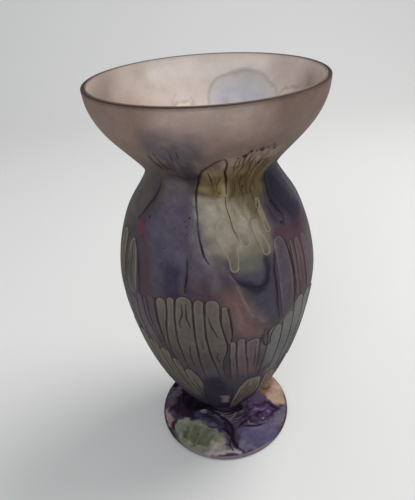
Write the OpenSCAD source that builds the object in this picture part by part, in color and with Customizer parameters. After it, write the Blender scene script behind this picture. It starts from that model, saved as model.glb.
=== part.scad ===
// Footed art glass vase: a flared bowl over a tall pear-shaped body, on a wide disc foot.
// Pieces of coloured glass are laid hot over the wall and the foot, in layers one on another.
// Units are millimetres. +Z is up. The foot stands on z = 0 and the vase turns about Z.
// Places on the wall are [angle, height]: angle 0 is the front (-Y), and +90 is +X.

/* [Vessel] */
// Height from the table to the rim
vase_h = 255; // [230:1:280]
// Radius of the rim
rim_r = 65; // [62:0.5:70]
// Radius of the neck under the bowl
neck_r = 38; // [36:0.5:42]
// Greatest radius of the body
belly_r = 61; // [58:0.5:66]
// Radius of the waist above the foot
waist_r = 10.5; // [9:0.5:13]
// Thickness of the coloured outer wall
wall_t = 2; // [1.6:0.1:2.4]
// Thickness of the pale casing inside it
casing_t = 1; // [0.6:0.1:1.4]

/* [Foot] */
// Radius of the foot
foot_r = 49; // [46:0.5:54]
// Thickness of the foot at its edge
foot_edge_t = 2.8; // [2.4:0.1:3.4]
// Height of the foot where the wafer sits on it
foot_crown_h = 6; // [5:0.5:7]
// Width of the flat ring that the foot stands on
foot_ring_w = 6; // [4:0.5:9]
// Height of the wafer that joins body and foot
wafer_h = 4; // [3:0.5:4.5]
// Radius of the hollow ground under the foot
pontil_r = 9; // [7:0.5:12]

/* [Coloured pieces] */
// Thickness of a laid-on piece
piece_t = 0.35; // [0.3:0.05:0.5]
// Clearance under each piece
piece_gap = 0.15; // [0.12:0.01:0.2]
// Steps along each piece, for each pair of its points
piece_steps = 4; // [2:1:6]
// Widest facet across a piece
facet_w = 7; // [5:0.5:8]
// Space left at each side of a finger in a fan
finger_gap = 0.35; // [0.25:0.05:0.5]
// Greatest half width of a thread of dark glass
thread_w = 0.7; // [0.6:0.05:0.9]

/* [Hidden] */
$fn = 96;
curve_steps = 6;
body_z0 = foot_crown_h + wafer_h;

SOLIDS = ["vessel", "inner_casing", "waist_wafer", "foot"];
BOWL = ["bowl_blue_wash", "bowl_back_roundel", "bowl_rose_roundel"];
NECK = ["neck_olive_patch", "neck_cream_band", "neck_cream_drips", "back_olive_patch"];
SHOULDER = ["purple_patch", "mauve_patch", "red_spot", "left_shoulder_patch",
            "right_indigo_patch", "right_blotch", "back_indigo_patch", "back_cream_drips"];
BODY = ["indigo_crescent", "lavender_patch", "peach_streak", "rose_patch", "left_olive_leaf",
        "right_long_fingers", "tan_fan", "left_mauve_fingers", "left_olive_fan", "pink_fingers",
        "right_green_fan", "base_petals", "base_leaf", "back_long_fingers", "back_tan_fan", "back_green_fan",
        "dark_trails"];
FOOT = ["foot_green_patch", "foot_blue_patch", "foot_lavender_patch", "foot_purple_frit",
        "foot_amber_patch", "foot_tan_patch", "foot_indigo_patch", "foot_pink_patch",
        "foot_veins", "waist_ridges"];

// ---- Curves ----

// Catmull-Rom value between b and c; a and d are the neighbours
function blend(a, b, c, d, t) =
    0.5 * (2 * b + (c - a) * t + (2 * a - 5 * b + 4 * c - d) * t * t
           + (3 * b - a - 3 * c + d) * t * t * t);

// A smooth line through points, with n steps from each point to the next
function smooth(p, n) =
    let (last = len(p) - 1)
    [for (i = [0 : last - 1], k = [0 : n - 1])
        blend(p[max(i - 1, 0)], p[i], p[i + 1], p[min(i + 2, last)], k / n),
     p[last]];

// ---- The wall's outline ----

// Outline of the outer wall as [radius, height], from the waist to the rim
OUTLINE = [
    [waist_r, body_z0],
    [waist_r + 2, body_z0 + 5],
    [22, 23.5],
    [39.5, 51],
    [belly_r - 7.5, 89],
    [belly_r, 130],
    [belly_r - 1, 155],
    [52.5, 180.5],
    [neck_r + 3.5, vase_h - 57],
    [neck_r, vase_h - 49.5],
    [neck_r + 2.5, vase_h - 42.5],
    [rim_r - 8, vase_h - 23],
    [rim_r - 1.5, vase_h - 10.5],
    [rim_r, vase_h]
];
OUTER = smooth(OUTLINE, curve_steps);
RADIUS_AT = [for (p = OUTER) [p[1], p[0]]];

function wall_r(z) = lookup(z, RADIUS_AT);
function wall_slope(z) = (wall_r(z + 1) - wall_r(z - 1)) / 2;
function wall_stretch(z) = sqrt(1 + pow(wall_slope(z), 2));

// The wall's outline moved inwards by depth, closed by a thick rounded bottom
cavity_z0 = body_z0 + 8;
function inner_line(depth) = concat(
    [[0, cavity_z0 + depth], [9, cavity_z0 + 1 + depth], [17, cavity_z0 + 4.5 + depth]],
    [for (p = OUTER) if (p[1] > cavity_z0 + 13 && p[1] < vase_h - 3)
        let (k = wall_stretch(p[1]))
        [p[0] - depth / k, p[1] + depth * wall_slope(p[1]) / k]],
    [[rim_r - depth, vase_h]]
);

function reversed(p) = [for (i = [len(p) - 1 : -1 : 0]) p[i]];

// ---- The foot's outline ----

dish_h = 1.2;
pontil_h = 1.1;
edge_round = foot_edge_t / 2;
foot_flat_r = foot_r - edge_round;

// Height of the foot's top face at radius r: level at the edge, rising to the crown
function foot_top(r) =
    let (t = min(max((foot_flat_r - r) / (foot_flat_r - waist_r), 0), 1))
    foot_edge_t + (foot_crown_h - foot_edge_t) * t * t;

FOOT_UNDER = [
    [0, dish_h + pontil_h],
    [pontil_r * 0.6, dish_h + pontil_h * 0.7],
    [pontil_r, dish_h],
    [foot_flat_r - foot_ring_w, 0],
    [foot_flat_r, 0]
];
FOOT_EDGE = [for (a = [-75 : 15 : 75])
    [foot_flat_r + edge_round * cos(a), edge_round + edge_round * sin(a)]];
FOOT_TOP = [for (k = [0 : 12])
    let (r = foot_flat_r - k * (foot_flat_r - waist_r) / 12)
    [r, foot_top(r)]];

// ---- Pieces laid on the wall and the foot ----

// A piece follows a run: [place, place, half width], where the first two numbers are
// [angle, height] on the wall or [x, y] on the foot. Layer 1 lies on the glass, 2 on 1.
// Millimetres for each unit of a place
function scale_at(q, on_foot) = on_foot ? [1, 1] : [wall_r(q[1]) * PI / 180, wall_stretch(q[1])];

// The point that stands off above a place
function wall_point(q, off) =
    let (k = wall_stretch(q[1]), r = wall_r(q[1]) + off / k)
    [r * sin(q[0]), -r * cos(q[0]), q[1] - off * wall_slope(q[1]) / k];
function foot_point(q, off) = [q[0], q[1], foot_top(norm([q[0], q[1]])) + off];
function surface_point(q, off, on_foot) = on_foot ? foot_point(q, off) : wall_point(q, off);

// Half width, rounded off at both ends: t goes from 0 to 1 along the piece
function rounded(w, t) = max(w * sqrt(max(1 - pow(abs(2 * t - 1), 8), 0)), min(w, 0.4));

// The place at u across the run (-1 to 1), at point i of the path
function across(path, i, u, on_foot) =
    let (last = len(path) - 1, q = path[i], k = scale_at(q, on_foot),
         d = path[min(i + 1, last)] - path[max(i - 1, 0)],
         tx = d[0] * k[0], ty = d[1] * k[1], l = norm([tx, ty]),
         w = u * rounded(q[2], i / last))
    [q[0] - w * ty / l / k[0], q[1] + w * tx / l / k[1]];

function split(a, b, c, d) = [[a, b, c], [a, c, d]];

module run(points, layer = 1, on_foot = false) {
    path = smooth(points, piece_steps);
    rows = len(path);
    cols = max(ceil(2 * max([for (p = points) p[2]]) / facet_w), 1);
    low = piece_gap + (layer - 1) * (piece_gap + piece_t);
    ring = 2 * (cols + 1);
    verts = [for (i = [0 : rows - 1], side = [0, 1], j = [0 : cols])
        surface_point(across(path, i, 2 * j / cols - 1, on_foot), low + side * piece_t, on_foot)];
    function id(i, side, j) = i * ring + side * (cols + 1) + j;
    faces = concat(
        [for (i = [0 : rows - 2], j = [0 : cols - 1])
            each split(id(i, 0, j), id(i, 0, j + 1), id(i + 1, 0, j + 1), id(i + 1, 0, j))],
        [for (i = [0 : rows - 2], j = [0 : cols - 1])
            each split(id(i, 1, j), id(i + 1, 1, j), id(i + 1, 1, j + 1), id(i, 1, j + 1))],
        [for (i = [0 : rows - 2])
            each split(id(i, 0, 0), id(i + 1, 0, 0), id(i + 1, 1, 0), id(i, 1, 0))],
        [for (i = [0 : rows - 2])
            each split(id(i, 0, cols), id(i, 1, cols), id(i + 1, 1, cols), id(i + 1, 0, cols))],
        [for (j = [0 : cols - 1])
            each split(id(0, 0, j), id(0, 1, j), id(0, 1, j + 1), id(0, 0, j + 1))],
        [for (j = [0 : cols - 1])
            each split(id(rows - 1, 0, j), id(rows - 1, 0, j + 1),
                       id(rows - 1, 1, j + 1), id(rows - 1, 1, j))]
    );
    polyhedron(verts, faces, convexity = 4);
}

module runs(list, layer = 1, on_foot = false) {
    for (points = list) run(points, layer, on_foot);
}

// Angle of a line of [angle, height] points, listed downwards, at height z
function angle_at(line, z) = lookup(z, [for (p = reversed(line)) [p[1], p[0]]]);

// Fingers side by side: each fills the space between two neighbouring lines, between the
// [top, bottom] heights in ends
function fan(lines, ends) =
    [for (k = [0 : len(ends) - 1])
        [for (t = [0 : 0.25 : 1])
            let (z = ends[k][0] + t * (ends[k][1] - ends[k][0]),
                 left = angle_at(lines[k], z), right = angle_at(lines[k + 1], z),
                 half = (right - left) / 2 * wall_r(z) * PI / 180 - finger_gap)
            [(left + right) / 2, z, max(half, 0.5)]]];

// A thread swells in the middle and thins out at its ends
function thread(line, widest) =
    [for (k = [0 : len(line) - 1])
        [line[k][0], line[k][1], widest * (0.6 + 0.4 * sin(180 * k / (len(line) - 1)))]];

// ---- The blown and shaped pieces ----

module vessel() {
    color([0.42, 0.35, 0.37])
        rotate_extrude()
            polygon(concat([[0, body_z0]], OUTER, reversed(inner_line(wall_t))));
}

module inner_casing() {
    color([0.76, 0.70, 0.67])
        rotate_extrude()
            polygon(concat(inner_line(wall_t), reversed(inner_line(wall_t + casing_t))));
}

// Wafer of hot glass pressed between the body and the foot
module waist_wafer() {
    bulge = 1.5;
    side = [for (a = [-90 : 15 : 90])
        [waist_r + bulge * cos(a), foot_crown_h + wafer_h / 2 * (1 + sin(a))]];
    color([0.24, 0.19, 0.26])
        rotate_extrude()
            polygon(concat([[0, foot_crown_h]], side, [[0, body_z0]]));
}

// Disc foot, dished below, standing on a flat ring, with a ground hollow at its centre
module foot() {
    color([0.30, 0.27, 0.34])
        rotate_extrude()
            polygon(concat(FOOT_UNDER, FOOT_EDGE, FOOT_TOP, [[0, foot_crown_h]]));
}

// ---- Bowl ----

module bowl_blue_wash() {
    color([0.30, 0.28, 0.31])
        run([[-17, 214, 8], [-18, 224, 11], [-18, 233, 12], [-17, 240, 7]]);
}

module bowl_back_roundel() {
    color([0.55, 0.55, 0.62])
        run([[160, 229, 13], [160, 237, 18], [160, 246, 12]]);
}

module bowl_rose_roundel() {
    color([0.62, 0.48, 0.45])
        run([[122, 231, 5], [123, 238, 7], [124, 244, 5]]);
}

// ---- Neck ----

module neck_olive_patch() {
    color([0.33, 0.29, 0.19])
        run([[12, 202.5, 13], [13.5, 209, 16.5], [17, 218, 18], [22, 228, 14]]);
}

module neck_cream_band() {
    color([0.54, 0.51, 0.46])
        run([[7, 199, 12], [7, 193, 14], [8, 186, 15]]);
}

module neck_cream_drips() {
    color([0.56, 0.53, 0.48])
        runs([
            [[4.6, 193, 3], [5.6, 186, 5], [8, 180, 4.8], [9.2, 175, 3.3], [9.4, 166.6, 2.6]],
            [[16.8, 193.6, 4], [17, 186, 3.6], [17.4, 178, 2.6]],
            [[25.4, 190.5, 2.3], [26, 183, 2.5], [28.4, 176, 2.8], [29, 171.4, 2.7]],
            [[33, 199, 1.6], [32.4, 191, 2], [33.2, 182, 2]]
        ], 2);
}

module back_olive_patch() {
    color([0.35, 0.31, 0.20])
        run([[150, 202, 16], [150, 211, 19], [153, 220, 18], [154, 227, 13]]);
}

// ---- Shoulder ----

module purple_patch() {
    color([0.27, 0.24, 0.33])
        run([[-28, 210, 9], [-29, 198, 12], [-30, 186, 16], [-29, 172, 12], [-28, 156, 9]]);
}

module mauve_patch() {
    color([0.29, 0.24, 0.27])
        run([[-8, 180, 4], [-8, 168, 7], [-8.5, 157.5, 7.5]]);
}

module red_spot() {
    color([0.30, 0.18, 0.22])
        run([[-57, 189, 2.5], [-54, 185, 4], [-51, 180, 3]], 2);
}

module left_shoulder_patch() {
    color([0.27, 0.27, 0.23])
        run([[-72, 205, 11], [-73, 196, 14], [-74, 186, 15]]);
}

module right_indigo_patch() {
    color([0.18, 0.16, 0.23])
        run([[66, 205, 11], [66, 193, 14], [66, 179, 16]]);
}

module right_blotch() {
    color([0.16, 0.13, 0.18])
        run([[49, 207, 2], [46, 199, 3.6], [46, 190, 5], [48, 184, 4]], 2);
}

module back_indigo_patch() {
    color([0.20, 0.17, 0.25])
        run([[214, 206, 13], [214, 196, 16], [216, 184, 18], [216, 172, 14]]);
}

module back_cream_drips() {
    color([0.54, 0.50, 0.44])
        runs([for (k = [0 : 5])
            [[126 + 8 * k, 199, 2.2], [127 + 8 * k, 188, 2.8], [127 + 8 * k, 176 - 4 * (k % 3), 2.6]]]);
}

// ---- Body ----

module indigo_crescent() {
    color([0.18, 0.16, 0.22])
        run([[7, 167.6, 0.9], [9.6, 162.4, 1.1], [14.4, 158.6, 1.4], [20, 156.4, 1.5],
             [25, 157.2, 1.5], [27.8, 161.6, 1.2], [29.4, 168, 0.9]], 3);
}

module lavender_patch() {
    color([0.28, 0.26, 0.30])
        run([[21, 151, 8], [22, 142, 9], [23.5, 132, 7.5]]);
}

module peach_streak() {
    color([0.62, 0.50, 0.44])
        run([[6.6, 163, 0.8], [9, 157, 1.5], [12, 149, 1.9], [18, 140, 1.8], [24, 132, 1]], 2);
}

module rose_patch() {
    color([0.36, 0.28, 0.28])
        run([[7.6, 150, 2], [9, 140, 2.8], [12, 129, 2.5]]);
}

module left_olive_leaf() {
    color([0.33, 0.32, 0.27])
        runs([
            [[-55.6, 177, 2.6], [-55, 165, 5], [-54.6, 152, 5], [-54, 145, 3.6]],
            [[-68, 178, 3], [-69, 165, 4.8], [-67, 149, 4.6]]
        ]);
}

module right_long_fingers() {
    color([0.29, 0.26, 0.30])
        runs([
            [[38, 178, 4], [38.6, 164, 5.2], [38.8, 148, 5.2], [39, 133, 3.8]],
            [[47, 174, 1], [47.2, 158, 1.3], [47.2, 140, 1.2]],
            [[52.6, 173, 2.2], [52.6, 158, 3.2], [52.6, 140, 2.8]],
            [[60.4, 172, 2.4], [60.4, 158, 3.2], [60.4, 139, 2.8]]
        ]);
}

module tan_fan() {
    lines = [
        [[-35, 151], [-34.6, 128], [-33.8, 110], [-30, 101]],
        [[-28.4, 153], [-28, 142], [-30.2, 130], [-31.2, 116], [-30, 104], [-26, 94]],
        [[-23, 155], [-24, 139], [-24.4, 118], [-23, 104], [-21, 93], [-16, 86]],
        [[-13.5, 155], [-13.8, 136], [-13.6, 112], [-13, 98], [-11, 87]],
        [[-7.3, 154], [-8, 138], [-7.8, 124], [-6.6, 112], [-4.4, 100], [-1.6, 87]],
        [[0.6, 154], [0, 139], [2, 128], [3.4, 118], [2.2, 111], [0.6, 106], [1, 88]],
        [[4, 149], [5.4, 139], [6, 129], [5, 120]]
    ];
    color([0.36, 0.33, 0.30])
        runs(fan(lines, [[150.5, 104], [152.4, 98], [154, 96], [153, 90], [153, 90], [148.6, 125]]));
}

module left_mauve_fingers() {
    lines = [
        [[-66, 143], [-67, 130], [-64, 114]],
        [[-57.5, 143], [-58.5, 130], [-55.5, 112]],
        [[-50, 147], [-50.6, 131], [-48.5, 116], [-45, 104]],
        [[-45, 148], [-44, 132], [-40.5, 120], [-37.4, 110]],
        [[-41.6, 150], [-40.6, 132], [-38, 121], [-35.6, 112]],
        [[-35.8, 150], [-35.4, 132], [-34.8, 118], [-34.2, 112]]
    ];
    color([0.34, 0.29, 0.33])
        runs(fan(lines, [[140, 121], [142, 121], [146, 120], [146, 122], [149, 122]]));
}

module left_olive_fan() {
    lines = [
        [[-82, 114], [-80, 98], [-70, 78], [-56, 58]],
        [[-71, 117], [-69, 98], [-60, 78], [-48, 58]],
        [[-60, 117], [-58, 96], [-50, 76], [-41, 56]],
        [[-50.5, 114], [-48, 94], [-41.5, 74], [-34, 54]],
        [[-41.5, 111], [-39, 92], [-34, 74], [-28, 54]],
        [[-33.6, 108], [-31, 88], [-27.4, 74], [-23, 54]],
        [[-26.4, 102], [-25.4, 84], [-22.6, 72], [-19.4, 54]],
        [[-18, 93], [-14.8, 83], [-14.8, 76], [-16.6, 68], [-16.4, 56]]
    ];
    color([0.38, 0.37, 0.31])
        runs(fan(lines, [[114, 66], [117, 64], [114, 62], [111, 60], [108, 60], [101, 60], [92.5, 60]]));
}

module pink_fingers() {
    lines = [
        [[4.2, 124], [4, 108], [4.5, 92], [6, 80]],
        [[8.3, 124], [8, 111], [8.6, 98], [10, 82]],
        [[13.2, 124], [14, 108], [15.6, 96], [17, 84]],
        [[22.4, 122], [21.8, 106], [22.2, 94], [22.6, 84]]
    ];
    color([0.36, 0.31, 0.33])
        runs(fan(lines, [[122.4, 86], [123.8, 86], [121.6, 86]]));
}

module right_green_fan() {
    lines = [
        [[27, 126], [27, 108], [26, 92], [25.5, 80]],
        [[36.6, 131], [37, 114], [35.6, 100], [33, 82]],
        [[45, 137], [46, 117], [45, 104], [41, 82]],
        [[54.4, 138], [55, 118], [53.6, 102], [49, 80]],
        [[64, 136], [64, 114], [62, 98], [57, 78]],
        [[74, 130], [73, 110], [70, 94], [65, 76]]
    ];
    color([0.35, 0.36, 0.34])
        runs(fan(lines, [[125.5, 86], [131, 84], [137, 82.5], [136, 81], [129.5, 80]]));
}

module base_petals() {
    color([0.14, 0.11, 0.18])
        run([[-4, 87, 4], [-4, 73, 7.6], [-5, 57, 7], [-6, 42, 4]]);
}

module base_leaf() {
    color([0.33, 0.29, 0.26])
        runs([
            [[17.4, 32, 2.6], [17, 46, 5.6], [18, 56, 7.2], [19.4, 67, 7.8], [20.4, 76, 6], [21, 82, 3]],
            [[37.4, 42, 2.4], [37.4, 54, 4.2], [38, 66, 5], [37.4, 77, 3.6]]
        ]);
}

module back_long_fingers() {
    color([0.28, 0.25, 0.30])
        runs(fan([for (k = [0 : 5]) [[180 + 10.6 * k, 168], [180 + 10.5 * k, 148], [179 + 10.6 * k, 124]]],
                 [for (k = [0 : 4]) [166 - 3 * (k % 2), 128 - k % 3]]));
}

module back_tan_fan() {
    color([0.37, 0.34, 0.30])
        runs(fan([for (k = [0 : 9])
                     [[93 + 9.5 * k, 153], [94 + 9.3 * k, 130], [98 + 8.4 * k, 106], [102 + 7.6 * k, 84]]],
                 [for (k = [0 : 8]) [147 + 4 * (k % 2), 90 - 2 * (k % 3)]]));
}

module back_green_fan() {
    color([0.36, 0.37, 0.33])
        runs(fan([for (k = [0 : 8])
                     [[178 + 9 * k, 122], [178 + 9 * k, 98], [179 + 8.9 * k, 76], [180 + 8.6 * k, 56]]],
                 [for (k = [0 : 7]) [121 - 4 * (k % 2), 62 - k % 3]]));
}

// Thin threads of dark glass that edge the larger pieces
module dark_trails() {
    front = [
        [[7, 228], [3, 226.6], [-2.5, 222.6], [-6, 219.4], [-9.8, 211.6], [-12.6, 204], [-11.8, 197],
         [-10.4, 189], [-8, 180], [-4, 172]],
        [[-44.5, 209], [-46.8, 203], [-50, 197], [-54.4, 191.4], [-58, 186]],
        [[-54.4, 176.6], [-49.6, 169], [-47.6, 158], [-47, 147]],
        [[-32.2, 230], [-32, 225], [-31, 220.6]],
        [[-2.2, 219], [-0.4, 212], [1.4, 204]],
        [[8.6, 224], [8.4, 218], [11, 209.4], [10.8, 203]],
        [[19, 231], [17.8, 226], [18.2, 219], [16.4, 212.4]],
        [[28, 227], [28.6, 219.4], [26.4, 214.6]],
        [[33, 226], [33.6, 219], [31, 213.4]],
        [[47, 210], [47.6, 204], [45.6, 199], [45, 191.6], [48, 187], [45.8, 181.6]],
        [[40.4, 178.6], [42.8, 174.8], [44.4, 165], [45.2, 154], [45, 134]],
        [[34, 173], [31.8, 164], [31.6, 153], [32, 142], [34, 129]],
        [[25, 127], [23.6, 121], [24.4, 115], [26.2, 111.8], [28.6, 113.4], [28.8, 119], [31, 124.6]],
        [[-16, 174], [-16.2, 166], [-17, 155.6]],
        [[12.4, 74], [13.6, 66], [14.6, 56]]
    ];
    back = [
        [[96, 206], [98, 192], [96, 176], [92, 160]],
        [[130, 222], [128, 210], [129, 198], [126, 186], [122, 172]],
        [[142, 228], [143, 216], [144, 204], [145, 194]],
        [[156, 226], [157, 214], [158, 203]],
        [[190, 206], [192, 190], [190, 174], [184, 166]],
        [[236, 204], [240, 190], [238, 176], [232, 168]],
        [[252, 180], [250, 164], [252, 148]]
    ];
    color([0.10, 0.07, 0.10])
        runs([for (line = concat(front, back)) thread(line, thread_w)], 4);
}

// ---- Foot ----

module foot_green_patch() {
    color([0.33, 0.36, 0.30])
        run([[-34, -21, 6], [-26, -26, 9], [-17, -31.5, 8.5], [-9, -36, 6]], on_foot = true);
}

module foot_blue_patch() {
    color([0.33, 0.32, 0.42])
        run([[9, -32, 6], [17, -30, 9.5], [27, -26.5, 9.5], [35, -21, 6]], on_foot = true);
}

module foot_lavender_patch() {
    color([0.36, 0.33, 0.44])
        run([[-22, -10.5, 2.5], [-15, -17.5, 4], [-6, -22, 3.5]], on_foot = true);
}

module foot_purple_frit() {
    color([0.28, 0.21, 0.32])
        runs([
            [[16, -15, 1.6], [20, -12.4, 2.4], [24, -10, 1.8]],
            [[27, -6.8, 1.4], [31, -6, 2.4], [35, -3.6, 1.6]],
            [[27, -15, 1.4], [32, -13, 2.2], [36.6, -10, 1.4]],
            [[38.8, -7, 1.1], [41.6, -5, 1.6], [44, -3, 1.1]],
            [[19, -5, 1.4], [26, 0, 2.2], [33, 3, 1.4]],
            [[18, -19.6, 1], [25, -20.4, 1.5], [33, -17.4, 1]]
        ], 2, true);
}

module foot_amber_patch() {
    color([0.45, 0.36, 0.27])
        run([[40, 2, 5], [38, 10, 6], [34, 18, 6], [28, 26, 5]], on_foot = true);
}

module foot_tan_patch() {
    color([0.36, 0.33, 0.29])
        run([[15, 3, 3], [18, 12, 6], [20, 22, 7], [19, 33, 7]], on_foot = true);
}

module foot_indigo_patch() {
    color([0.05, 0.03, 0.08])
        run([[-19, -3, 3], [-26, 1, 7], [-32, 6, 8.5], [-37, 14, 6]], on_foot = true);
}

module foot_pink_patch() {
    color([0.46, 0.42, 0.45])
        runs([
            [[-45, 2, 1], [-44.5, -8, 1.6], [-42, -15, 1.2]],
            [[-12, -44, 1.4], [-4, -44.5, 1.8], [4, -44.5, 1.4]]
        ], on_foot = true);
}

module foot_veins() {
    color([0.14, 0.09, 0.18])
        runs([
            [[-9.4, -10.6, 0.6], [-3.8, -15.6, 0.9], [3, -22, 1.1], [5.6, -27, 1.2], [8.4, -34, 1],
             [8, -39, 0.8], [13, -43.4, 0.5]],
            [[19, -16, 0.6], [16, -19, 1], [12, -21.6, 1], [9.8, -24, 0.5]],
            [[-4, -25, 0.5], [0, -28, 0.8], [3.4, -33, 0.7]],
            [[-30, -21, 0.5], [-33, -26, 0.8], [-33.8, -31.4, 0.5]],
            [[-26.4, -25, 0.5], [-28.4, -31, 0.9], [-31, -35, 0.5]],
            [[-21.2, -24, 0.5], [-23.6, -32, 1], [-25.2, -39.6, 0.5]],
            [[-16.4, -25.4, 0.5], [-19.4, -34, 1], [-21.6, -40.4, 0.5]],
            [[-9.2, -27.6, 0.5], [-12.6, -34, 1], [-14.6, -41, 0.6]]
        ], 3, true);
}

// Folds of glass crumpled round the waist
module waist_ridges() {
    color([0.50, 0.46, 0.50])
        runs([
            [[-20, -7, 1], [-16.6, -9.2, 1.5], [-13.6, -10.4, 1]],
            [[-11, -13, 0.8], [-6, -14.6, 1.2], [2, -15, 1.2], [10, -12, 1.1], [15, -7, 0.7]],
            [[-10, -17.8, 0.7], [-1, -19, 1.1], [8, -17.4, 1.1], [16.4, -13.4, 0.7]],
            [[18, -3, 0.9], [19, 3, 1.3], [16, 9, 1.2], [11, 14, 0.8]],
            [[-13, 9, 0.8], [-5, 15, 1.3], [5, 15.5, 0.9]]
        ], 4, true);
}

vessel();
inner_casing();
waist_wafer();
foot();
bowl_blue_wash();
bowl_back_roundel();
bowl_rose_roundel();
neck_olive_patch();
neck_cream_band();
neck_cream_drips();
back_olive_patch();
purple_patch();
mauve_patch();
red_spot();
left_shoulder_patch();
right_indigo_patch();
right_blotch();
back_indigo_patch();
back_cream_drips();
indigo_crescent();
lavender_patch();
peach_streak();
rose_patch();
left_olive_leaf();
right_long_fingers();
tan_fan();
left_mauve_fingers();
left_olive_fan();
pink_fingers();
right_green_fan();
base_petals();
base_leaf();
back_long_fingers();
back_tan_fan();
back_green_fan();
dark_trails();
foot_green_patch();
foot_blue_patch();
foot_lavender_patch();
foot_purple_frit();
foot_amber_patch();
foot_tan_patch();
foot_indigo_patch();
foot_pink_patch();
foot_veins();
waist_ridges();
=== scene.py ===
"""A footed art glass vase: frosted glass under washes, fans and drips of coloured glass.

Places on the wall are [angle in degrees, height in mm]: angle 0 is the front (-Y), +90 is +X.
Places on the foot are [x, y] in mm. A run is a list of [place, place, half width in mm].
"""
import math

import bpy
import numpy as np
from mathutils import Matrix, Vector


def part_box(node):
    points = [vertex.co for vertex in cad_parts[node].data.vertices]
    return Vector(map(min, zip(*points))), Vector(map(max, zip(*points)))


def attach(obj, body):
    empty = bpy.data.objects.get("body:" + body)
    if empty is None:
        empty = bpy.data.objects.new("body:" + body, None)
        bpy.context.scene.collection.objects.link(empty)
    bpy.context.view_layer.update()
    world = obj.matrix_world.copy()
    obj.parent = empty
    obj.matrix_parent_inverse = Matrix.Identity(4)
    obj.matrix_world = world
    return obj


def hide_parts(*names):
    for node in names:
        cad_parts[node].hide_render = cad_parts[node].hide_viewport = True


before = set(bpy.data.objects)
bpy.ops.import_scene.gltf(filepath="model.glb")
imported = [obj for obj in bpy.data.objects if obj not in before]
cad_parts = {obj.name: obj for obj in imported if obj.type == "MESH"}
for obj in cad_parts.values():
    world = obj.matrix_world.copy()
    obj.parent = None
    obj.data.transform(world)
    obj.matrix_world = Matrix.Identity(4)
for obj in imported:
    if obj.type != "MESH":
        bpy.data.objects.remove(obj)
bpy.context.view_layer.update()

MM = 0.001
WALL_T = 2.0
CASING_T = 1.0
SINK = 0.2
SEGMENTS = 320

# ---------------------------------------------------------------- colours

def srgb(r, g, b):
    """Linear colour of an sRGB colour, whose parts run from 0 to 255."""
    c = np.array([r, g, b], float) / 255
    return np.where(c <= 0.04045, c / 12.92, ((c + 0.055) / 1.055) ** 2.4)


def smoothstep(low, high, x):
    t = np.clip((x - low) / (high - low), 0, 1)
    return t * t * (3 - 2 * t)


def mix(a, b, k):
    return a + (b - a) * np.asarray(k)[..., None]


def level(values, at):
    """Value at each place from 0 to 1 along a row of evenly spaced values."""
    return np.interp(at, np.linspace(0, 1, len(values)), values)


def ramp(tints, at, stops):
    """Linear colour at each place along a row of sRGB colours that stand at the stops."""
    linear = [srgb(*tint) for tint in tints]
    return np.stack([np.interp(at, stops, [c[k] for c in linear]) for k in range(3)], -1)


def waves(points, length, seed, stretch=(1, 1, 1), count=14):
    """Smooth seeded noise, about -1 to 1, whose features are length mm across."""
    rng = np.random.default_rng(seed)
    total = np.zeros(len(points))
    for _ in range(count):
        way = rng.normal(size=3)
        way *= rng.uniform(0.6, 1.5) * 2 * math.pi / (length * 2 * np.linalg.norm(way))
        total += np.cos(points @ (way / np.array(stretch)) + rng.uniform(0, 2 * math.pi))
    return total / math.sqrt(count / 2) / 1.4


def smooth(points, steps):
    """Catmull-Rom line through points."""
    p = np.array(points, float)
    last = len(p) - 1
    out = []
    for i in range(last):
        a, b, c, d = p[max(i - 1, 0)], p[i], p[i + 1], p[min(i + 2, last)]
        for k in range(steps):
            t = k / steps
            out.append(0.5 * (2 * b + (c - a) * t + (2 * a - 5 * b + 4 * c - d) * t * t
                              + (3 * b - a - 3 * c + d) * t ** 3))
    out.append(p[last])
    return np.array(out)


# ---------------------------------------------------------------- the wall and the foot

def profile_of(node):
    """Outer outline of a turned CAD node: greatest radius in mm at each height in mm."""
    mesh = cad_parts[node].data
    co = np.array([v.co for v in mesh.vertices], float) / MM
    ends = np.array([e.vertices for e in mesh.edges])
    r, z = np.hypot(co[:, 0], co[:, 1])[ends], co[:, 2][ends]
    r, z = np.take_along_axis(r, z.argsort(1), 1), np.sort(z, 1)
    r, z = r[z[:, 1] - z[:, 0] > 1e-3], z[z[:, 1] - z[:, 0] > 1e-3]
    heights = np.arange(z.min(), z.max() + 1e-6, 0.5)
    outline = []
    for h in heights:
        crossing = (z[:, 0] <= h + 1e-4) & (z[:, 1] >= h - 1e-4)
        (r0, r1), (z0, z1) = r[crossing].T, z[crossing].T
        outline.append((r0 + (r1 - r0) * np.clip((h - z0) / (z1 - z0), 0, 1)).max())
    return np.array(outline), heights


OUTLINE_R, OUTLINE_Z = profile_of("vessel")
RIM_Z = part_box("vessel")[1].z / MM
WAIST_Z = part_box("vessel")[0].z / MM
FOOT_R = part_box("foot")[1].x / MM
FOOT_CROWN_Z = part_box("foot")[1].z / MM
CAVITY_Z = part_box("inner_casing")[0].z / MM


SMOOTHING_ROUNDS = 90


class Table:
    """The wall's radius, slope and length along the outline, by height."""

    def __init__(self):
        step = 0.25
        self.z = np.arange(WAIST_Z, RIM_Z + step / 2, step)
        r = np.interp(self.z, OUTLINE_Z, OUTLINE_R)
        for _ in range(SMOOTHING_ROUNDS):
            r[1:-1] = (r[:-2] + 2 * r[1:-1] + r[2:]) / 4
        self.r = r
        self.slope = np.gradient(r, self.z)
        self.s = np.concatenate([[0], np.cumsum(np.hypot(np.diff(r), np.diff(self.z)))])

    def radius(self, z):
        return np.interp(z, self.z, self.r)

    def lean(self, z):
        return np.interp(z, self.z, self.slope)

    def along(self, z):
        return np.interp(z, self.z, self.s)

    def height(self, s):
        return np.interp(s, self.s, self.z)


WALL = Table()


def mm_per_degree(z):
    """Length on the wall of one degree round it, at height z."""
    return WALL.radius(z) * math.pi / 180


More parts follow.
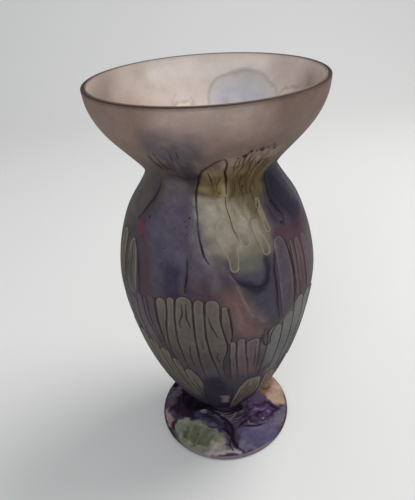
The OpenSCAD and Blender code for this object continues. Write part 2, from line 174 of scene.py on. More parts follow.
def wall_point(a, z, off):
    """Point in mm that stands off mm out from the wall at angle a, height z."""
    lean = WALL.lean(z)
    k = np.sqrt(1 + lean ** 2)
    t = np.radians(a)
    hand = 0.12 * np.cos(2 * t + 0.6) * smoothstep(90, 250, z) + 0.1 * np.sin(3 * t + z / 40)
    r = WALL.radius(z) + off / k + hand * smoothstep(30, 80, z)
    return np.stack([r * np.sin(t), -r * np.cos(t), z - off * lean / k], -1)


FOOT_EDGE_T = 2.8
FOOT_FLAT_R = FOOT_R - FOOT_EDGE_T / 2
WAIST_R = float(WALL.r[0])


def foot_top(r):
    t = np.clip((FOOT_FLAT_R - r) / (FOOT_FLAT_R - WAIST_R), 0, 1)
    return FOOT_EDGE_T + (FOOT_CROWN_Z - FOOT_EDGE_T) * t * t


def foot_point(x, y, off):
    """Point in mm that stands off mm above the foot's top at x, y."""
    return np.stack([x, y, foot_top(np.hypot(x, y)) + off], -1)


# ---------------------------------------------------------------- painted washes

def cover(x, y, scale, run, soft, full_turn=0):
    """How much of a soft brush run covers each place: 1 inside, 0 soft mm outside it.

    x, y are the places; scale is how many mm one unit of x is worth there; y is in mm."""
    best = np.full(len(x), 1e9)
    for p, q in zip(run, run[1:] if len(run) > 1 else run):
        dx = x - p[0]
        if full_turn:
            dx = (dx + full_turn / 2) % full_turn - full_turn / 2
        vx, vy = (q[0] - p[0]) * scale, q[1] - p[1]
        dx, dy = dx * scale, y - p[1]
        t = np.clip((dx * vx + dy * vy) / np.maximum(vx * vx + vy * vy, 1e-9), 0, 1)
        gap = np.hypot(dx - t * vx, dy - t * vy) - (p[2] + (q[2] - p[2]) * t)
        best = np.minimum(best, gap)
    return 1 - smoothstep(-soft / 2, soft / 2, best)


def lay_washes(colour, washes, x, y, scale, on_wall):
    """The washes laid in turn over a colour, at places x, y; wall places are angle and arc length."""
    for tint, soft, strength, run in washes:
        path = [[p[0], float(WALL.along(p[1])), p[2]] for p in run] if on_wall else run
        colour = mix(colour, srgb(*tint), strength * cover(x, y, scale, path, soft, 360 if on_wall else 0))
    return colour


# Washes on the wall, each laid over the ones before: sRGB colour, softness, strength, run
WALL_WASHES = [
    # bowl
    ((190, 170, 160), 24, 0.9, [[-15, 251, 6], [2, 252, 8], [16, 251, 6]]),
    ((132, 114, 105), 34, 0.8, [[-62, 240, 12], [-38, 247, 8]]),
    ((124, 110, 92), 9, 0.6, [[-52, 238, 3], [-47, 234, 3]]),
    ((126, 92, 86), 8, 0.7, [[-44, 236, 2], [-38, 233, 3]]),
    ((146, 123, 114), 12, 0.7, [[-6, 229, 4], [4, 235, 5]]),
    ((106, 97, 100), 12, 0.85, [[-24, 236, 9], [-9, 236, 8]]),
    ((80, 74, 79), 10, 0.85, [[-23, 231, 6.4], [-11, 230, 8]]),
    ((58, 50, 55), 8, 0.9, [[-26, 221, 5], [-15, 220, 7], [-9, 219, 3]]),
    ((46, 39, 45), 8, 0.9, [[-27, 213, 2.4], [-17, 213, 3], [-9, 216, 2.6]]),
    ((58, 52, 56), 2, 0.6, [[-24, 230, 0.5], [-22.6, 221, 0.9], [-20, 214, 0.5]]),
    ((58, 52, 56), 2, 0.6, [[-17.4, 233, 0.5], [-18, 225, 1], [-17, 216, 0.5]]),
    ((66, 60, 64), 2, 0.45, [[-12.4, 230, 0.4], [-13, 223, 0.9], [-13, 216, 0.5]]),
    ((120, 114, 118), 2, 0.4, [[-20.4, 232, 0.4], [-20, 226, 0.7], [-19, 219, 0.4]]),
    ((120, 116, 124), 5, 0.9, [[160, 230, 10], [160, 238, 14], [160, 243, 9]]),
    ((132, 100, 94), 5, 0.8, [[122, 232, 4], [123, 239, 5]]),
    # neck and shoulder
    ((88, 77, 76), 6, 0.8, [[-38, 210, 4], [-28, 208, 5]]),
    ((97, 88, 95), 7, 0.9, [[-30, 202, 9], [-26, 197, 11]]),
    ((84, 72, 74), 6, 0.8, [[-44, 206, 2.4], [-42, 198, 3]]),
    ((86, 79, 94), 9, 0.95, [[-30, 188, 13], [-27, 176, 12]]),
    ((52, 47, 66), 8, 0.9, [[-24.6, 166, 6], [-24, 157, 8]]),
    ((72, 71, 82), 6, 0.8, [[-33, 166, 3], [-33, 154, 4]]),
    ((64, 58, 74), 7, 0.6, [[-36, 180, 3], [-34, 174, 4]]),
    ((82, 75, 88), 4, 0.9, [[-20, 166, 1.4], [-19.6, 156, 2]]),
    ((82, 62, 70), 6, 0.9, [[-46, 180, 3], [-43, 166, 4], [-42, 150, 6]]),
    ((84, 77, 88), 9, 0.9, [[-12, 182, 4], [-8, 171, 7]]),
    ((80, 62, 72), 6, 0.9, [[-11, 163, 5], [-6, 157, 6], [1, 156, 3]]),
    ((116, 87, 84), 8, 0.95, [[2, 154, 3], [7, 148, 4], [11, 138, 6], [14, 130, 6]]),
    ((70, 67, 82), 8, 0.97, [[21, 150, 8], [26, 142, 7], [29, 135, 5]]),
    ((100, 84, 82), 8, 0.8, [[8, 162, 1], [11, 154, 3], [15, 146, 4], [20, 138, 3.4], [26, 131, 2]]),
    ((134, 118, 106), 2.4, 0.6, [[6.2, 165, 0.2], [8.5, 158, 0.5], [11.6, 149.6, 0.6], [16.8, 141.4, 0.4],
                                     [22, 134, 0.2]]),
    ((110, 86, 84), 7, 0.8, [[14, 127, 3], [22, 126, 3]]),
    ((80, 71, 79), 5, 0.95, [[38, 174, 5], [39, 152, 6], [39, 135, 5]]),
    ((92, 72, 72), 3, 0.9, [[47, 172, 1], [48, 150, 1.4], [48.6, 140, 1.4]]),
    ((80, 56, 56), 7, 0.95, [[54, 170, 4], [54, 157, 4.5], [55, 143, 4]]),
    ((80, 54, 62), 8, 0.9, [[42, 180, 3], [54, 177, 5], [66, 175, 6]]),
    ((86, 84, 82), 10, 0.9, [[72, 166, 6], [72, 146, 8]]),
    ((33, 28, 46), 9, 0.98, [[58, 206, 10], [59, 196, 12], [62, 187, 11]]),
    ((58, 52, 68), 6, 0.6, [[64, 209, 3], [69, 199, 3.4], [73, 189, 4]]),
    ((94, 84, 88), 5, 0.85, [[39, 204, 2], [38, 196, 3], [38, 186, 2.5]]),
    ((106, 99, 108), 6, 0.8, [[-14, 200, 1.6], [-13, 192, 2], [-11.6, 184, 2]]),
    ((124, 117, 119), 8, 0.95, [[-10, 196, 2], [-8, 188, 3.4], [-5, 180, 4.6], [-3, 175, 3.4]]),
    ((166, 157, 141), 3, 0.97, [[-9, 200, 3.4], [12, 199, 5], [27, 198, 4]]),
    ((160, 152, 137), 4, 0.97, [[-7.6, 194, 3.6], [14, 192.6, 6], [27, 192, 4.5]]),
    ((122, 112, 90), 5, 0.9, [[29, 199, 3.4], [31, 191, 3.4], [32, 184, 2.6]]),
    ((154, 145, 128), 5, 0.97, [[-3.6, 187, 4.4], [16, 185, 7], [22, 185, 6]]),
    ((128, 120, 101), 5, 0.9, [[27, 188, 3], [28, 181, 4], [28, 176, 3]]),
    ((146, 137, 123), 6, 0.96, [[1, 179, 4], [12, 178, 5], [20, 178, 4.5]]),
    ((112, 104, 96), 6, 0.85, [[30, 180, 2], [33, 174, 3]]),
    ((166, 157, 140), 4, 0.8, [[16.4, 187, 2], [15, 179, 2]]),
    ((92, 84, 84), 5, 0.85, [[35, 190, 1.8], [34, 184, 2]]),
    ((58, 50, 60), 4, 0.9, [[40, 193, 1.4], [40.6, 186, 1.8]]),
    ((106, 98, 98), 7, 0.8, [[1, 174, 2.6], [4, 168, 1.4]]),
    ((140, 132, 124), 5, 0.6, [[-0.4, 186, 1.6], [-1, 178, 2]]),
    ((112, 102, 104), 5, 0.6, [[-1.2, 173, 1.6], [-1.6, 165, 1.8], [-1.8, 158, 1.8]]),
    ((122, 118, 102), 6, 0.9, [[14, 174, 4.5], [26, 174, 4.5]]),
    ((104, 102, 94), 5, 0.9, [[14.6, 168.6, 4], [24, 169, 4]]),
    ((80, 77, 90), 6, 0.9, [[14, 162.6, 3], [20, 161.6, 4], [25, 163, 3]]),
    ((42, 38, 52), 4, 0.95,
     [[10, 161, 1.6], [15, 158.6, 2.2], [21, 157, 2.6], [26, 159, 2.6], [28.6, 166, 2],
                                 [29.4, 174, 0.8]]),
    ((126, 109, 76), 3.6, 0.97, [[-7, 207, 3], [4, 206.4, 3.2], [10, 206.4, 3.4]]),
    ((114, 98, 66), 5, 0.97, [[13, 206.4, 4], [22, 205, 4.6], [34, 204, 5]]),
    ((112, 95, 64), 4, 0.75, [[24, 200, 2], [27, 195, 2.6], [29, 190, 1.6]]),
    ((112, 96, 63), 5, 0.95, [[-4, 213, 3.6], [16, 213, 4.4], [36, 213, 5]]),
    ((120, 103, 76), 5, 0.95, [[0, 218.6, 3.6], [20, 219, 4]]),
    ((108, 92, 66), 6, 0.95, [[24, 218, 3.4], [39, 217, 4]]),
    ((136, 117, 102), 2.4, 0.9, [[7, 224, 3.6], [22, 226, 4.4], [38, 226, 4.6]]),
    ((80, 65, 38), 3, 0.75, [[13, 211, 1.4], [16, 205, 2], [18, 212, 1.4]]),
    ((168, 153, 122), 4, 0.9, [[11.6, 209.6, 0.6], [10.8, 203, 1.4], [9.8, 196, 1.3], [11, 189, 0.9]]),
    ((76, 61, 34), 2.4, 0.7, [[25, 203, 1], [26, 212, 1.6]]),
    ((78, 63, 36), 2.4, 0.7, [[31, 204, 1], [33, 212, 1.4], [35, 217, 1]]),
    ((82, 66, 40), 2, 0.7, [[21, 202, 0.8], [22, 211, 1.2]]),
    ((82, 66, 40), 2, 0.6, [[4, 216, 0.8], [3, 210, 1], [5, 205, 0.7]]),
    ((84, 68, 40), 2, 0.5, [[-3, 214, 0.6], [-1, 209, 1], [1, 204, 0.6]]),
    ((116, 100, 70), 3, 0.8, [[19, 203, 1], [20, 197, 1.4], [20.6, 191, 0.8]]),
    ((112, 97, 68), 3, 0.85, [[30.6, 203, 1.6], [31, 196, 1.8], [31, 188, 1]]),
    ((124, 109, 82), 3, 0.7, [[14, 202, 0.8], [14.4, 197, 1], [14.6, 193, 0.6]]),
    ((132, 118, 92), 3, 0.6, [[2, 203, 0.8], [4, 198, 1.2], [7, 193, 0.6]]),
    ((180, 171, 156), 2, 0.6, [[-4, 200, 0.4], [2, 193, 0.8], [6, 187, 0.6], [8, 181, 0.4]]),
    ((180, 171, 156), 2, 0.6, [[12.6, 200, 0.3], [12.8, 194, 0.6], [14, 187, 0.6], [15, 181, 0.4]]),
    ((86, 78, 74), 8, 0.9, [[-68, 206, 8], [-70, 196, 11], [-73, 187, 12]]),
    ((74, 74, 62), 6, 0.5, [[-64, 201, 4], [-72, 201, 5]]),
    ((94, 52, 64), 5, 0.9, [[-54, 187, 2.5], [-51, 183, 3]]),
    ((75, 71, 60), 9, 0.95, [[-68, 172, 9], [-66, 154, 9]]),
    ((84, 78, 68), 10, 0.8, [[-86, 172, 9], [-84, 150, 9]]),
    # body
    ((80, 67, 75), 5, 0.9, [[-40, 147, 3], [-41, 132, 4]]),
    ((78, 75, 74), 9, 0.9, [[-60, 138, 9], [-58, 124, 9]]),
    ((90, 81, 75), 6, 0.95, [[-31, 143, 5], [-15, 144, 6], [0, 142, 5]]),
    ((78, 71, 67), 10, 0.9, [[-30, 122, 7], [-12, 119, 7]]),
    ((92, 80, 76), 9, 0.9, [[-4, 134, 5], [-2, 118, 6]]),
    ((100, 87, 84), 6, 0.9, [[6, 142, 2], [5, 130, 2.6]]),
    ((60, 56, 57), 9, 0.9, [[-24, 104, 6], [-5, 104, 8]]),
    ((78, 72, 64), 9, 0.95, [[-50, 106, 9], [-44, 92, 10], [-30, 78, 8], [-24, 66, 5]]),
    ((100, 95, 85), 10, 0.95, [[-76, 106, 14], [-68, 84, 14]]),
    ((98, 84, 88), 6, 0.95, [[6, 114, 4], [18, 112, 7]]),
    ((86, 69, 73), 8, 0.9, [[12, 97, 6], [22, 94, 5]]),
    ((98, 98, 94), 7, 0.95, [[33, 118, 6], [46, 124, 9], [60, 118, 9]]),
    ((80, 78, 77), 9, 0.95, [[34, 98, 8], [56, 96, 12]]),
    ((22, 11, 33), 8, 0.98, [[-5, 82, 6], [-4, 70, 9], [-4, 54, 12]]),
    ((112, 96, 86), 6, 0.9, [[35, 82, 3], [39, 70, 5], [42, 56, 4]]),
    ((102, 90, 98), 2, 0.9, [[-1, 60, 1.6], [3, 59, 2.2], [1, 49, 2.6]]),
    ((56, 44, 62), 5, 0.7, [[-12, 46, 2], [-8, 36, 2], [0, 30, 2]]),
    # the back, turned away from the front
    ((88, 73, 42), 5, 0.97, [[148, 206, 13], [150, 214, 16], [154, 222, 12]]),
    ((136, 128, 110), 6, 0.95, [[136, 196, 6], [156, 196, 7], [160, 184, 5]]),
    ((72, 66, 84), 9, 0.9, [[112, 200, 10], [108, 186, 12], [110, 168, 9]]),
    ((98, 76, 74), 9, 0.85, [[142, 168, 6], [160, 160, 6], [172, 152, 5]]),
    ((78, 74, 92), 8, 0.9, [[180, 190, 7], [184, 176, 8]]),
    ((44, 40, 62), 8, 0.95, [[214, 203, 12], [215, 190, 15], [216, 178, 13]]),
    ((88, 66, 66), 9, 0.85, [[246, 176, 8], [248, 158, 8]]),
    ((94, 84, 76), 7, 0.95, [[102, 142, 7], [134, 144, 8], [166, 142, 7]]),
    ((80, 74, 76), 10, 0.9, [[106, 116, 9], [160, 114, 9]]),
    ((74, 68, 84), 7, 0.95, [[184, 160, 5], [205, 156, 7], [226, 158, 5]]),
    ((86, 76, 88), 8, 0.9, [[186, 136, 6], [226, 138, 7]]),
    ((88, 92, 84), 8, 0.95, [[182, 110, 7], [212, 112, 9], [242, 108, 7]]),
    ((82, 82, 84), 9, 0.9, [[190, 86, 9], [236, 84, 9]]),
    ((98, 95, 97), 9, 0.8, [[26, 112, 4], [32, 98, 5], [38, 88, 5]]),
    ((98, 94, 84), 9, 0.9, [[254, 128, 9], [262, 108, 9]]),
]

# Ground colour of the wall, in sRGB, by height
WALL_GROUND = [
    (10, (16, 10, 22)), (34, (22, 14, 30)), (50, (42, 34, 52)), (70, (56, 48, 62)),
    (100, (64, 58, 66)), (125, (80, 70, 76)), (150, (78, 68, 78)),
    (178, (74, 66, 80)), (196, (76, 68, 76)), (208, (74, 64, 66)),
    (216, (94, 79, 75)), (228, (116, 98, 90)), (242, (136, 115, 105)),
    (255, (130, 108, 96)),
]


def wall_paint(a, z):
    """Colour of the washed wall at angle a, height z."""
    a, z = np.asarray(a, float), np.asarray(z, float)
    spots = wall_point(a, z, 0)
    bend_a = 1.3 * waves(spots, 11, 3) + 0.5 * waves(spots, 4, 5)
    bend_z = 1.6 * waves(spots, 12, 4, (1, 1, 1.6)) + 0.5 * waves(spots, 4, 6)
    scale = mm_per_degree(z)
    s = WALL.along(z) + bend_z
    zz = WALL.height(s)
    colour = ramp([c for _, c in WALL_GROUND], zz, [h for h, _ in WALL_GROUND])
    colour = lay_washes(colour, WALL_WASHES, a + bend_a / scale, s, scale, True)
    low = 1 - smoothstep(38, 54, zz)
    colour = mix(colour, srgb(24, 15, 33), 0.9 * low)
    streak = 0.05 * (1 - 0.8 * smoothstep(212, 226, z))
    flow = 1 + streak * waves(spots, 5, 8, (1, 1, 6)) + 0.04 * waves(spots, 18, 9)
    return colour * flow[..., None]


# Washes on the foot's top, each laid over the ones before; a few are painted light and shade: the darker
# back of the peach patch, the bands round the waist ridges and two small glints
FOOT_WASHES_AND_PAINTED_LIGHT = [
    ((96, 76, 58), 6, 0.95, [[20, 20, 6], [28, 30, 5]]),
    ((170, 142, 126), 3, 0.98, [[36, 3, 5], [43, 1, 5], [43, 12, 6.5], [38, 24, 7], [28, 35, 7]]),
    # painted shade on the back part of the peach patch
    ((144, 117, 101), 8, 0.8, [[41, 22, 3], [32, 32, 6]]),
    ((118, 88, 60), 5, 0.9, [[31, 6, 3.4], [33, 15, 5.4], [34, 24, 6]]),
    ((146, 100, 60), 3, 0.7, [[38, 14, 1], [36.6, 19, 1.6], [38, 24, 1.4]]),
    ((86, 58, 40), 2, 0.6, [[33.6, 21, 0.3], [36.4, 16.6, 0.7], [37, 12, 0.3]]),
    ((86, 58, 40), 2, 0.5, [[37, 23, 0.3], [39.4, 18.6, 0.5], [39.6, 15, 0.2]]),
    ((100, 90, 76), 5, 0.95, [[10, 8, 4], [17, 17, 6], [19, 28, 5]]),
    ((90, 82, 100), 6, 0.9, [[-6, 30, 8], [8, 38, 6]]),
    ((130, 108, 104), 6, 0.9, [[-18, 40, 4], [-4, 43, 3]]),
    ((54, 44, 54), 6, 0.9, [[-22, 26, 6], [-30, 32, 4]]),
    ((8, 1, 19), 2.4, 1, [[-14, -4, 4], [-22, -3, 8], [-29, 3, 7], [-33, 12, 5], [-39, 22, 4]]),
    ((36, 23, 43), 2.4, 0.97, [[-24, -11, 3.6], [-33, -8, 5], [-40, 0, 2.6]]),
    ((92, 78, 90), 2.6, 0.9, [[-38, 17, 3], [-40, 11, 4], [-43, 4, 2.4]]),
    ((100, 86, 96), 2, 0.6, [[-43.6, 9, 1.2], [-41.6, 13, 1.2]]),
    ((20, 12, 26), 2, 0.9, [[-34, 6, 2], [-36, 2, 2.4]]),
    ((160, 138, 140), 2, 0.95, [[-46.4, -3, 1.2], [-45, -12, 2], [-42.6, -18, 2]]),
    ((50, 34, 48), 2, 0.9, [[-41.4, -3, 1.6], [-38.6, -7, 2.4], [-40, -11, 1.6]]),
    ((98, 54, 58), 3, 0.9, [[-40.5, -17, 2], [-39.5, -22, 2]]),
    ((146, 143, 131), 2, 0.97, [[-31, -22, 8], [-24, -27.6, 10.4], [-16, -32.6, 10], [-8.4, -36, 7.4]]),
    ((140, 137, 124), 3, 0.95, [[-36, -26, 3], [-30, -35, 4.2], [-22, -41, 4.4], [-13, -43.6, 2.6]]),
    ((122, 126, 106), 3, 0.95,
     [[-31.4, -23, 5.8], [-24.6, -28.6, 8], [-17, -33, 7.4], [-10.6, -35.4, 4.8]]),
    ((150, 147, 134), 3, 0.8, [[-10, -29.6, 2], [-4.4, -33, 2.6], [-5, -38, 2.4]]),
    ((136, 136, 122), 3, 0.8, [[-31, -16, 1.6], [-22, -17, 2.4], [-12, -26, 2]]),
    ((98, 108, 70), 3, 0.8, [[-31, -22, 1.6], [-32, -31, 1.6]]),
    ((60, 72, 44), 2, 0.7, [[-31, -23, 1], [-33.4, -29.6, 1]]),
    ((98, 108, 70), 3, 0.8, [[-24.4, -22, 1.8], [-27, -36, 1.8]]),
    ((60, 72, 44), 2, 0.7, [[-21.6, -26, 1.1], [-25, -38, 1.1]]),
    ((100, 108, 76), 3, 0.8, [[-14, -27, 1.6], [-18, -40, 1.8]]),
    ((62, 72, 48), 2, 0.6, [[-17, -28, 1], [-21, -38, 1]]),
    ((72, 84, 56), 2, 0.6, [[-10.8, -31, 0.9], [-14, -39, 0.9]]),
    ((178, 168, 162), 2.4, 0.9, [[-10, -38.6, 1.2], [-4, -38.4, 1.6]]),
    ((184, 172, 170), 2.4, 0.96, [[-16, -45, 1.4], [-8, -42.6, 2.8], [0, -42.6, 2.8], [7, -45, 2]]),
    ((146, 124, 118), 2, 0.5, [[-12, -44.6, 0.8], [-5, -42.4, 1], [-2, -40.4, 0.6]]),
    ((150, 147, 132), 2, 0.8, [[-4, -42, 1], [2, -41, 1.6]]),
    ((66, 58, 84), 3, 0.95, [[-21, -12, 2.5], [-15, -16, 4], [-8, -21, 3.5], [-4, -25, 2.5]]),
    ((48, 38, 64), 2, 0.8, [[-18, -11, 0.8], [-13, -14, 1.2], [-8, -18, 0.8]]),
    ((104, 98, 120), 2, 0.6, [[-16, -19, 0.7], [-11, -20.6, 0.9], [-7, -24, 0.6]]),
    ((88, 81, 110), 3, 0.97, [[12, -27, 4], [18, -31, 8.5], [29, -29, 9]]),
    ((100, 92, 120), 3, 0.9, [[9.6, -36.4, 2], [12.6, -33, 4]]),
    ((112, 102, 124), 3, 0.85, [[9.4, -37, 2], [14, -40, 2.6], [20, -41.6, 2]]),
    ((100, 92, 108), 5, 0.95, [[36, -24, 4], [43, -15, 4], [46, -6, 2]]),
    ((112, 104, 122), 3, 0.6, [[15, -25, 1.4], [23, -26.6, 1.6], [29, -25, 1]]),
    ((50, 37, 60), 2.4, 0.9, [[0, -22, 2.4], [3, -30, 2], [3, -36, 1.4], [8, -42, 1]]),
    ((104, 94, 114), 2, 0.8, [[-2.6, -28, 1.6], [-0.6, -35, 2], [1.4, -41, 2]]),
    ((118, 108, 128), 2, 0.8, [[11, -38, 2], [8, -42, 1.8], [14, -44, 1.4]]),
    ((72, 50, 86), 2.4, 0.97, [[14, -14, 3], [22, -9, 6], [32, -8.4, 5.6], [41, -8, 2.6]]),
    ((50, 37, 62), 3, 0.8, [[12, -17.4, 2.4], [20, -17.4, 2], [28, -18.4, 1.6]]),
    ((34, 20, 40), 2, 0.85, [[17, -12, 1.6], [22, -13, 1.8], [25, -10, 1.2]]),
    ((34, 20, 40), 2.4, 0.85, [[26, -2, 1.6], [32.6, -3.4, 1.6], [38, -5.6, 1.4], [44.6, -4.4, 1]]),
    ((34, 20, 40), 2, 0.8, [[30, -13, 1], [36, -13.6, 1.2], [40, -9, 1]]),
    ((118, 96, 130), 2, 0.7, [[20, -10, 1.2], [25, -6, 1.4], [33, -10, 1.4]]),
    ((120, 110, 128), 1.6, 0.75, [[17, -19.6, 0.8], [24, -21, 1.4], [34, -18, 1]]),
    # Painted highlight: a pale band under the waist ridge at the front
    ((126, 112, 122), 2, 0.85, [[-9, -12, 1.6], [-1, -15, 2.4], [8, -15.5, 2.4], [15, -11, 1.8]]),
    # Dark violet glass between the waist ridges, deepened as painted shade in the valleys (this and the
    # next line)
    ((26, 15, 32), 3, 0.95, [[-12, -7, 3], [-6, -9, 2], [2, -11, 2.4], [10, -8, 3]]),
    ((36, 22, 42), 3, 0.85, [[8, -18, 1.6], [14, -14, 2.4], [17, -8, 2]]),
    # Painted glints: small white spots on the waist ridges and on the purple frit
    ((176, 168, 172), 1.6, 0.8, [[-15.6, -9.4, 0.9], [-14, -9, 0.7]]),
    ((190, 180, 190), 1.2, 0.8, [[27, -15, 0.7], [27.6, -15, 0.6]]),
    # Dark violet glass behind the waist, deepened as painted shade in the valley
    ((36, 24, 42), 4, 0.9, [[11, 4, 3], [4, 12, 3], [-8, 10, 3]]),
]


def foot_paint(x, y):
    """Colour of the foot's top at x, y, with the painted shade and glints of its washes."""
    spots = np.stack([x, y, np.zeros_like(x)], -1)
    bx = x + 1.3 * waves(spots, 9, 13) + 0.7 * waves(spots, 3.5, 15)
    by = y + 1.3 * waves(spots, 9, 14) + 0.7 * waves(spots, 3.5, 16)
    colour = np.tile(srgb(74, 62, 84), (len(x), 1))
    colour = lay_washes(colour, FOOT_WASHES_AND_PAINTED_LIGHT, bx, by, 1.0, False)
    edge = smoothstep(FOOT_R - 0.9, FOOT_R - 0.4, np.hypot(x, y))
    colour = mix(colour, srgb(44, 32, 40), edge * (0.9 - 0.6 * smoothstep(-26, -42, y)))
    flow = 1 + 0.09 * waves(spots, 5, 18) + 0.07 * waves(spots, 2.2, 19)
    return colour * flow[..., None]


# ---------------------------------------------------------------- meshes

def mesh_piece(name, points, faces, colours, material):
    """A new object from points in mm, with its colours as the attribute 'paint'."""
    mesh = bpy.data.meshes.new(name)
    mesh.from_pydata([tuple(p) for p in np.asarray(points) * MM], [], faces)
    mesh.validate()
    paint = mesh.color_attributes.new("paint", "FLOAT_COLOR", "POINT")
    rgba = np.ones((len(points), 4), np.float32)
    rgba[:, :3] = np.clip(colours, 0, 1)
    paint.data.foreach_set("color", rgba.ravel())
    mesh.polygons.foreach_set("use_smooth", [True] * len(mesh.polygons))
    mesh.materials.append(material)
    piece = bpy.data.objects.new(name, mesh)
    bpy.context.scene.collection.objects.link(piece)
    return piece


def place(piece, node):
    """The piece stands for a CAD node, on the one rigid body."""
    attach(piece, "root")
    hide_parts(node)
    return piece


def closed_faces(rings, count):
    """Quads between rings of count points, with the first and the last ring filled."""
    faces = [(i * count + j, i * count + (j + 1) % count,
              (i + 1) * count + (j + 1) % count, (i + 1) * count + j)
             for i in range(rings - 1) for j in range(count)]
    last = (rings - 1) * count
    return faces + [tuple(range(count - 1, -1, -1)), tuple(range(last, last + count))]


def around(count):
    """Angles in degrees of count points round a turned piece."""
    return np.arange(count) * 360 / count


def ring(radius, z, turns):
    """A level ring of points, with turns in radians from the front."""
    return np.stack([radius * np.sin(turns), -radius * np.cos(turns), np.full(len(turns), z)], -1)


def turned(rows, count):
    """All points of a turned piece: rows are (height on the wall's chart, depth into it)."""
    angles = around(count)
    return [wall_point(angles, np.full(count, z), -depth) for z, depth in rows]


def lip(width, depth, rise):
    """Rows that round a wall's top over: width across, starting depth mm in."""
    turns = np.radians(np.linspace(0, 180, 9))[1:-1]
    return [(RIM_Z - rise + rise * math.sin(t), depth + width / 2 * (1 - math.cos(t))) for t in turns]


def heights(low, high, step):
    return np.linspace(low, high, int(round(abs(high - low) / step)) + 1)


LIP_TINT = srgb(60, 44, 36)
LIP_RISE = 0.8
# Where the wall stops and the cavity's round bottom starts, above the cavity's lowest point
BOTTOM_RISE = 12
# The round bottom: share of the radius, drop in mm
BOTTOM_STEPS = ((0.8, 3.2), (0.5, 5.8), (0.2, 7.2), (0.02, 7.6))


def make_vessel(material):
    """The blown outer wall, painted, with a rounded lip and a thick bottom."""
    top = RIM_Z - LIP_RISE
    outer = [(z, 0.0) for z in heights(WAIST_Z, top, 1.05)]
    rim = lip(WALL_T, 0.0, LIP_RISE)
    inner = [(z, WALL_T) for z in heights(top, CAVITY_Z + BOTTOM_RISE, 2.4)]
    rings = turned(outer + rim + inner, SEGMENTS)
    floor = rings[-1]
    for share, drop in BOTTOM_STEPS:
        rings.append(floor * [share, share, 1] - [0, 0, drop])
    points = np.concatenate(rings)
    faces = closed_faces(len(rings), SEGMENTS)
    angles = np.tile(around(SEGMENTS), len(outer))
    colours = np.tile(LIP_TINT, (len(points), 1))
    painted = wall_paint(angles, np.repeat([z for z, _ in outer], SEGMENTS))
    colours[:len(painted)] = painted
    colours[len(painted) - SEGMENTS:len(painted)] = mix(painted[-SEGMENTS:], LIP_TINT, 0.4)
    for row, (_, depth) in enumerate(rim, len(outer)):
        dark = smoothstep(-0.1, 0.3, np.full(SEGMENTS, depth))
        colours[row * SEGMENTS:(row + 1) * SEGMENTS] = mix(painted[-SEGMENTS:], LIP_TINT, dark)
    return place(mesh_piece("vessel_glass", points, faces, colours, material), "vessel")


# Washes on the pale casing, each laid over the ones before. The broad soft ones are painted shade on its
# left and right sides and along the inside of the rim at the left, and painted light on its back wall; the
# roundels, rings and thin lines are the casing's own colour.
CASING_WASHES_AND_PAINTED_LIGHT = [
    # painted shade on the left inside wall
    ((140, 123, 113), 34, 0.95, [[268, 238, 18], [250, 246, 11]]),
    ((190, 175, 164), 26, 0.8, [[238, 238, 8], [224, 241, 8], [211, 238, 6]]),
    ((206, 196, 180), 34, 0.8, [[228, 250, 5], [205, 251, 5]]),
    ((182, 162, 154), 12, 0.75, [[250, 235, 5], [224, 229, 7], [206, 225, 5]]),
    # painted shade along the inside of the rim at the left
    ((156, 138, 128), 8, 0.7, [[262, 241, 3], [246, 237, 4], [232, 233.6, 2.6]]),
    ((188, 173, 165), 24, 0.5, [[128, 246, 6], [118, 242, 7]]),
    # painted shade on the right inside wall
    ((152, 134, 124), 22, 0.9, [[94, 238, 13], [104, 243, 8]]),
    # painted light on the back inside wall near the rim
    ((252, 243, 237), 16, 0.95, [[146, 250, 5], [172, 249, 7], [210, 249, 6]]),
    ((174, 163, 158), 2.4, 0.75,
     [[167.6, 232, 11.8], [158, 232.6, 14.6], [149, 232, 14.2], [141, 230.6, 12]]),
    ((216, 211, 211), 2.4, 0.9,
     [[167.6, 232, 10.4], [158, 232.4, 13.2], [149, 232, 12.8], [141, 230.6, 10.6]]),
    ((199, 199, 207), 10, 0.85, [[166, 230, 7], [157, 231, 9], [146, 230, 8]]),
    ((172, 172, 186), 5, 0.6, [[168, 229, 1], [166, 226, 2]]),
    ((176, 176, 186), 5, 0.5, [[154, 231, 1], [148, 226, 3]]),
    ((150, 130, 120), 2, 0.6, [[128, 233, 0.4], [125.4, 237.6, 0.6], [119.6, 240.6, 0.6], [112, 240, 0.4]]),
    ((212, 197, 188), 4, 0.6, [[121.6, 235, 2.4], [117, 236, 2.4]]),
    ((176, 154, 142), 1.8, 0.6, [[200, 226.4, 4.8], [196.4, 226.6, 4.6]]),
    ((240, 228, 214), 1.6, 0.9, [[199.6, 226.2, 3.7], [196.6, 226.4, 3.5]]),
    ((180, 158, 147), 1.6, 0.5, [[207, 226.4, 0.3], [204, 231.6, 0.5], [200, 234, 0.3]]),
    ((180, 158, 147), 1.6, 0.5, [[189.4, 226.4, 0.3], [192, 231.4, 0.4], [194.6, 233, 0.2]]),
    ((194, 168, 160), 8, 0.5, [[228, 236, 5], [244, 238, 4]]),
    ((176, 158, 156), 8, 0.5, [[170, 214, 8], [190, 210, 8]]),
]


def casing_paint(a, z):
    """Colour of the pale inner casing, with painted shade that darkens it deeper down and at its sides, and
    painted light on its back wall.
    """
    spots = wall_point(a, z, 0)
    scale = mm_per_degree(z)
    aa = a + 0.9 * waves(spots, 9, 23) / scale
    s = WALL.along(z) + 0.9 * waves(spots, 9, 24)
    # Painted shade: the casing is darker deeper down in the cavity and paler near the rim
    colour = mix(np.tile(srgb(150, 128, 122), (len(a), 1)), srgb(226, 212, 204), smoothstep(196, 226, z))
    colour = lay_washes(colour, CASING_WASHES_AND_PAINTED_LIGHT, aa, s, scale, True)
    warm = 1 + 0.03 * waves(spots, 14, 25)
    return colour * warm[..., None]


CASING_LIP_RISE = 0.5
CASING_GAP = 0.02


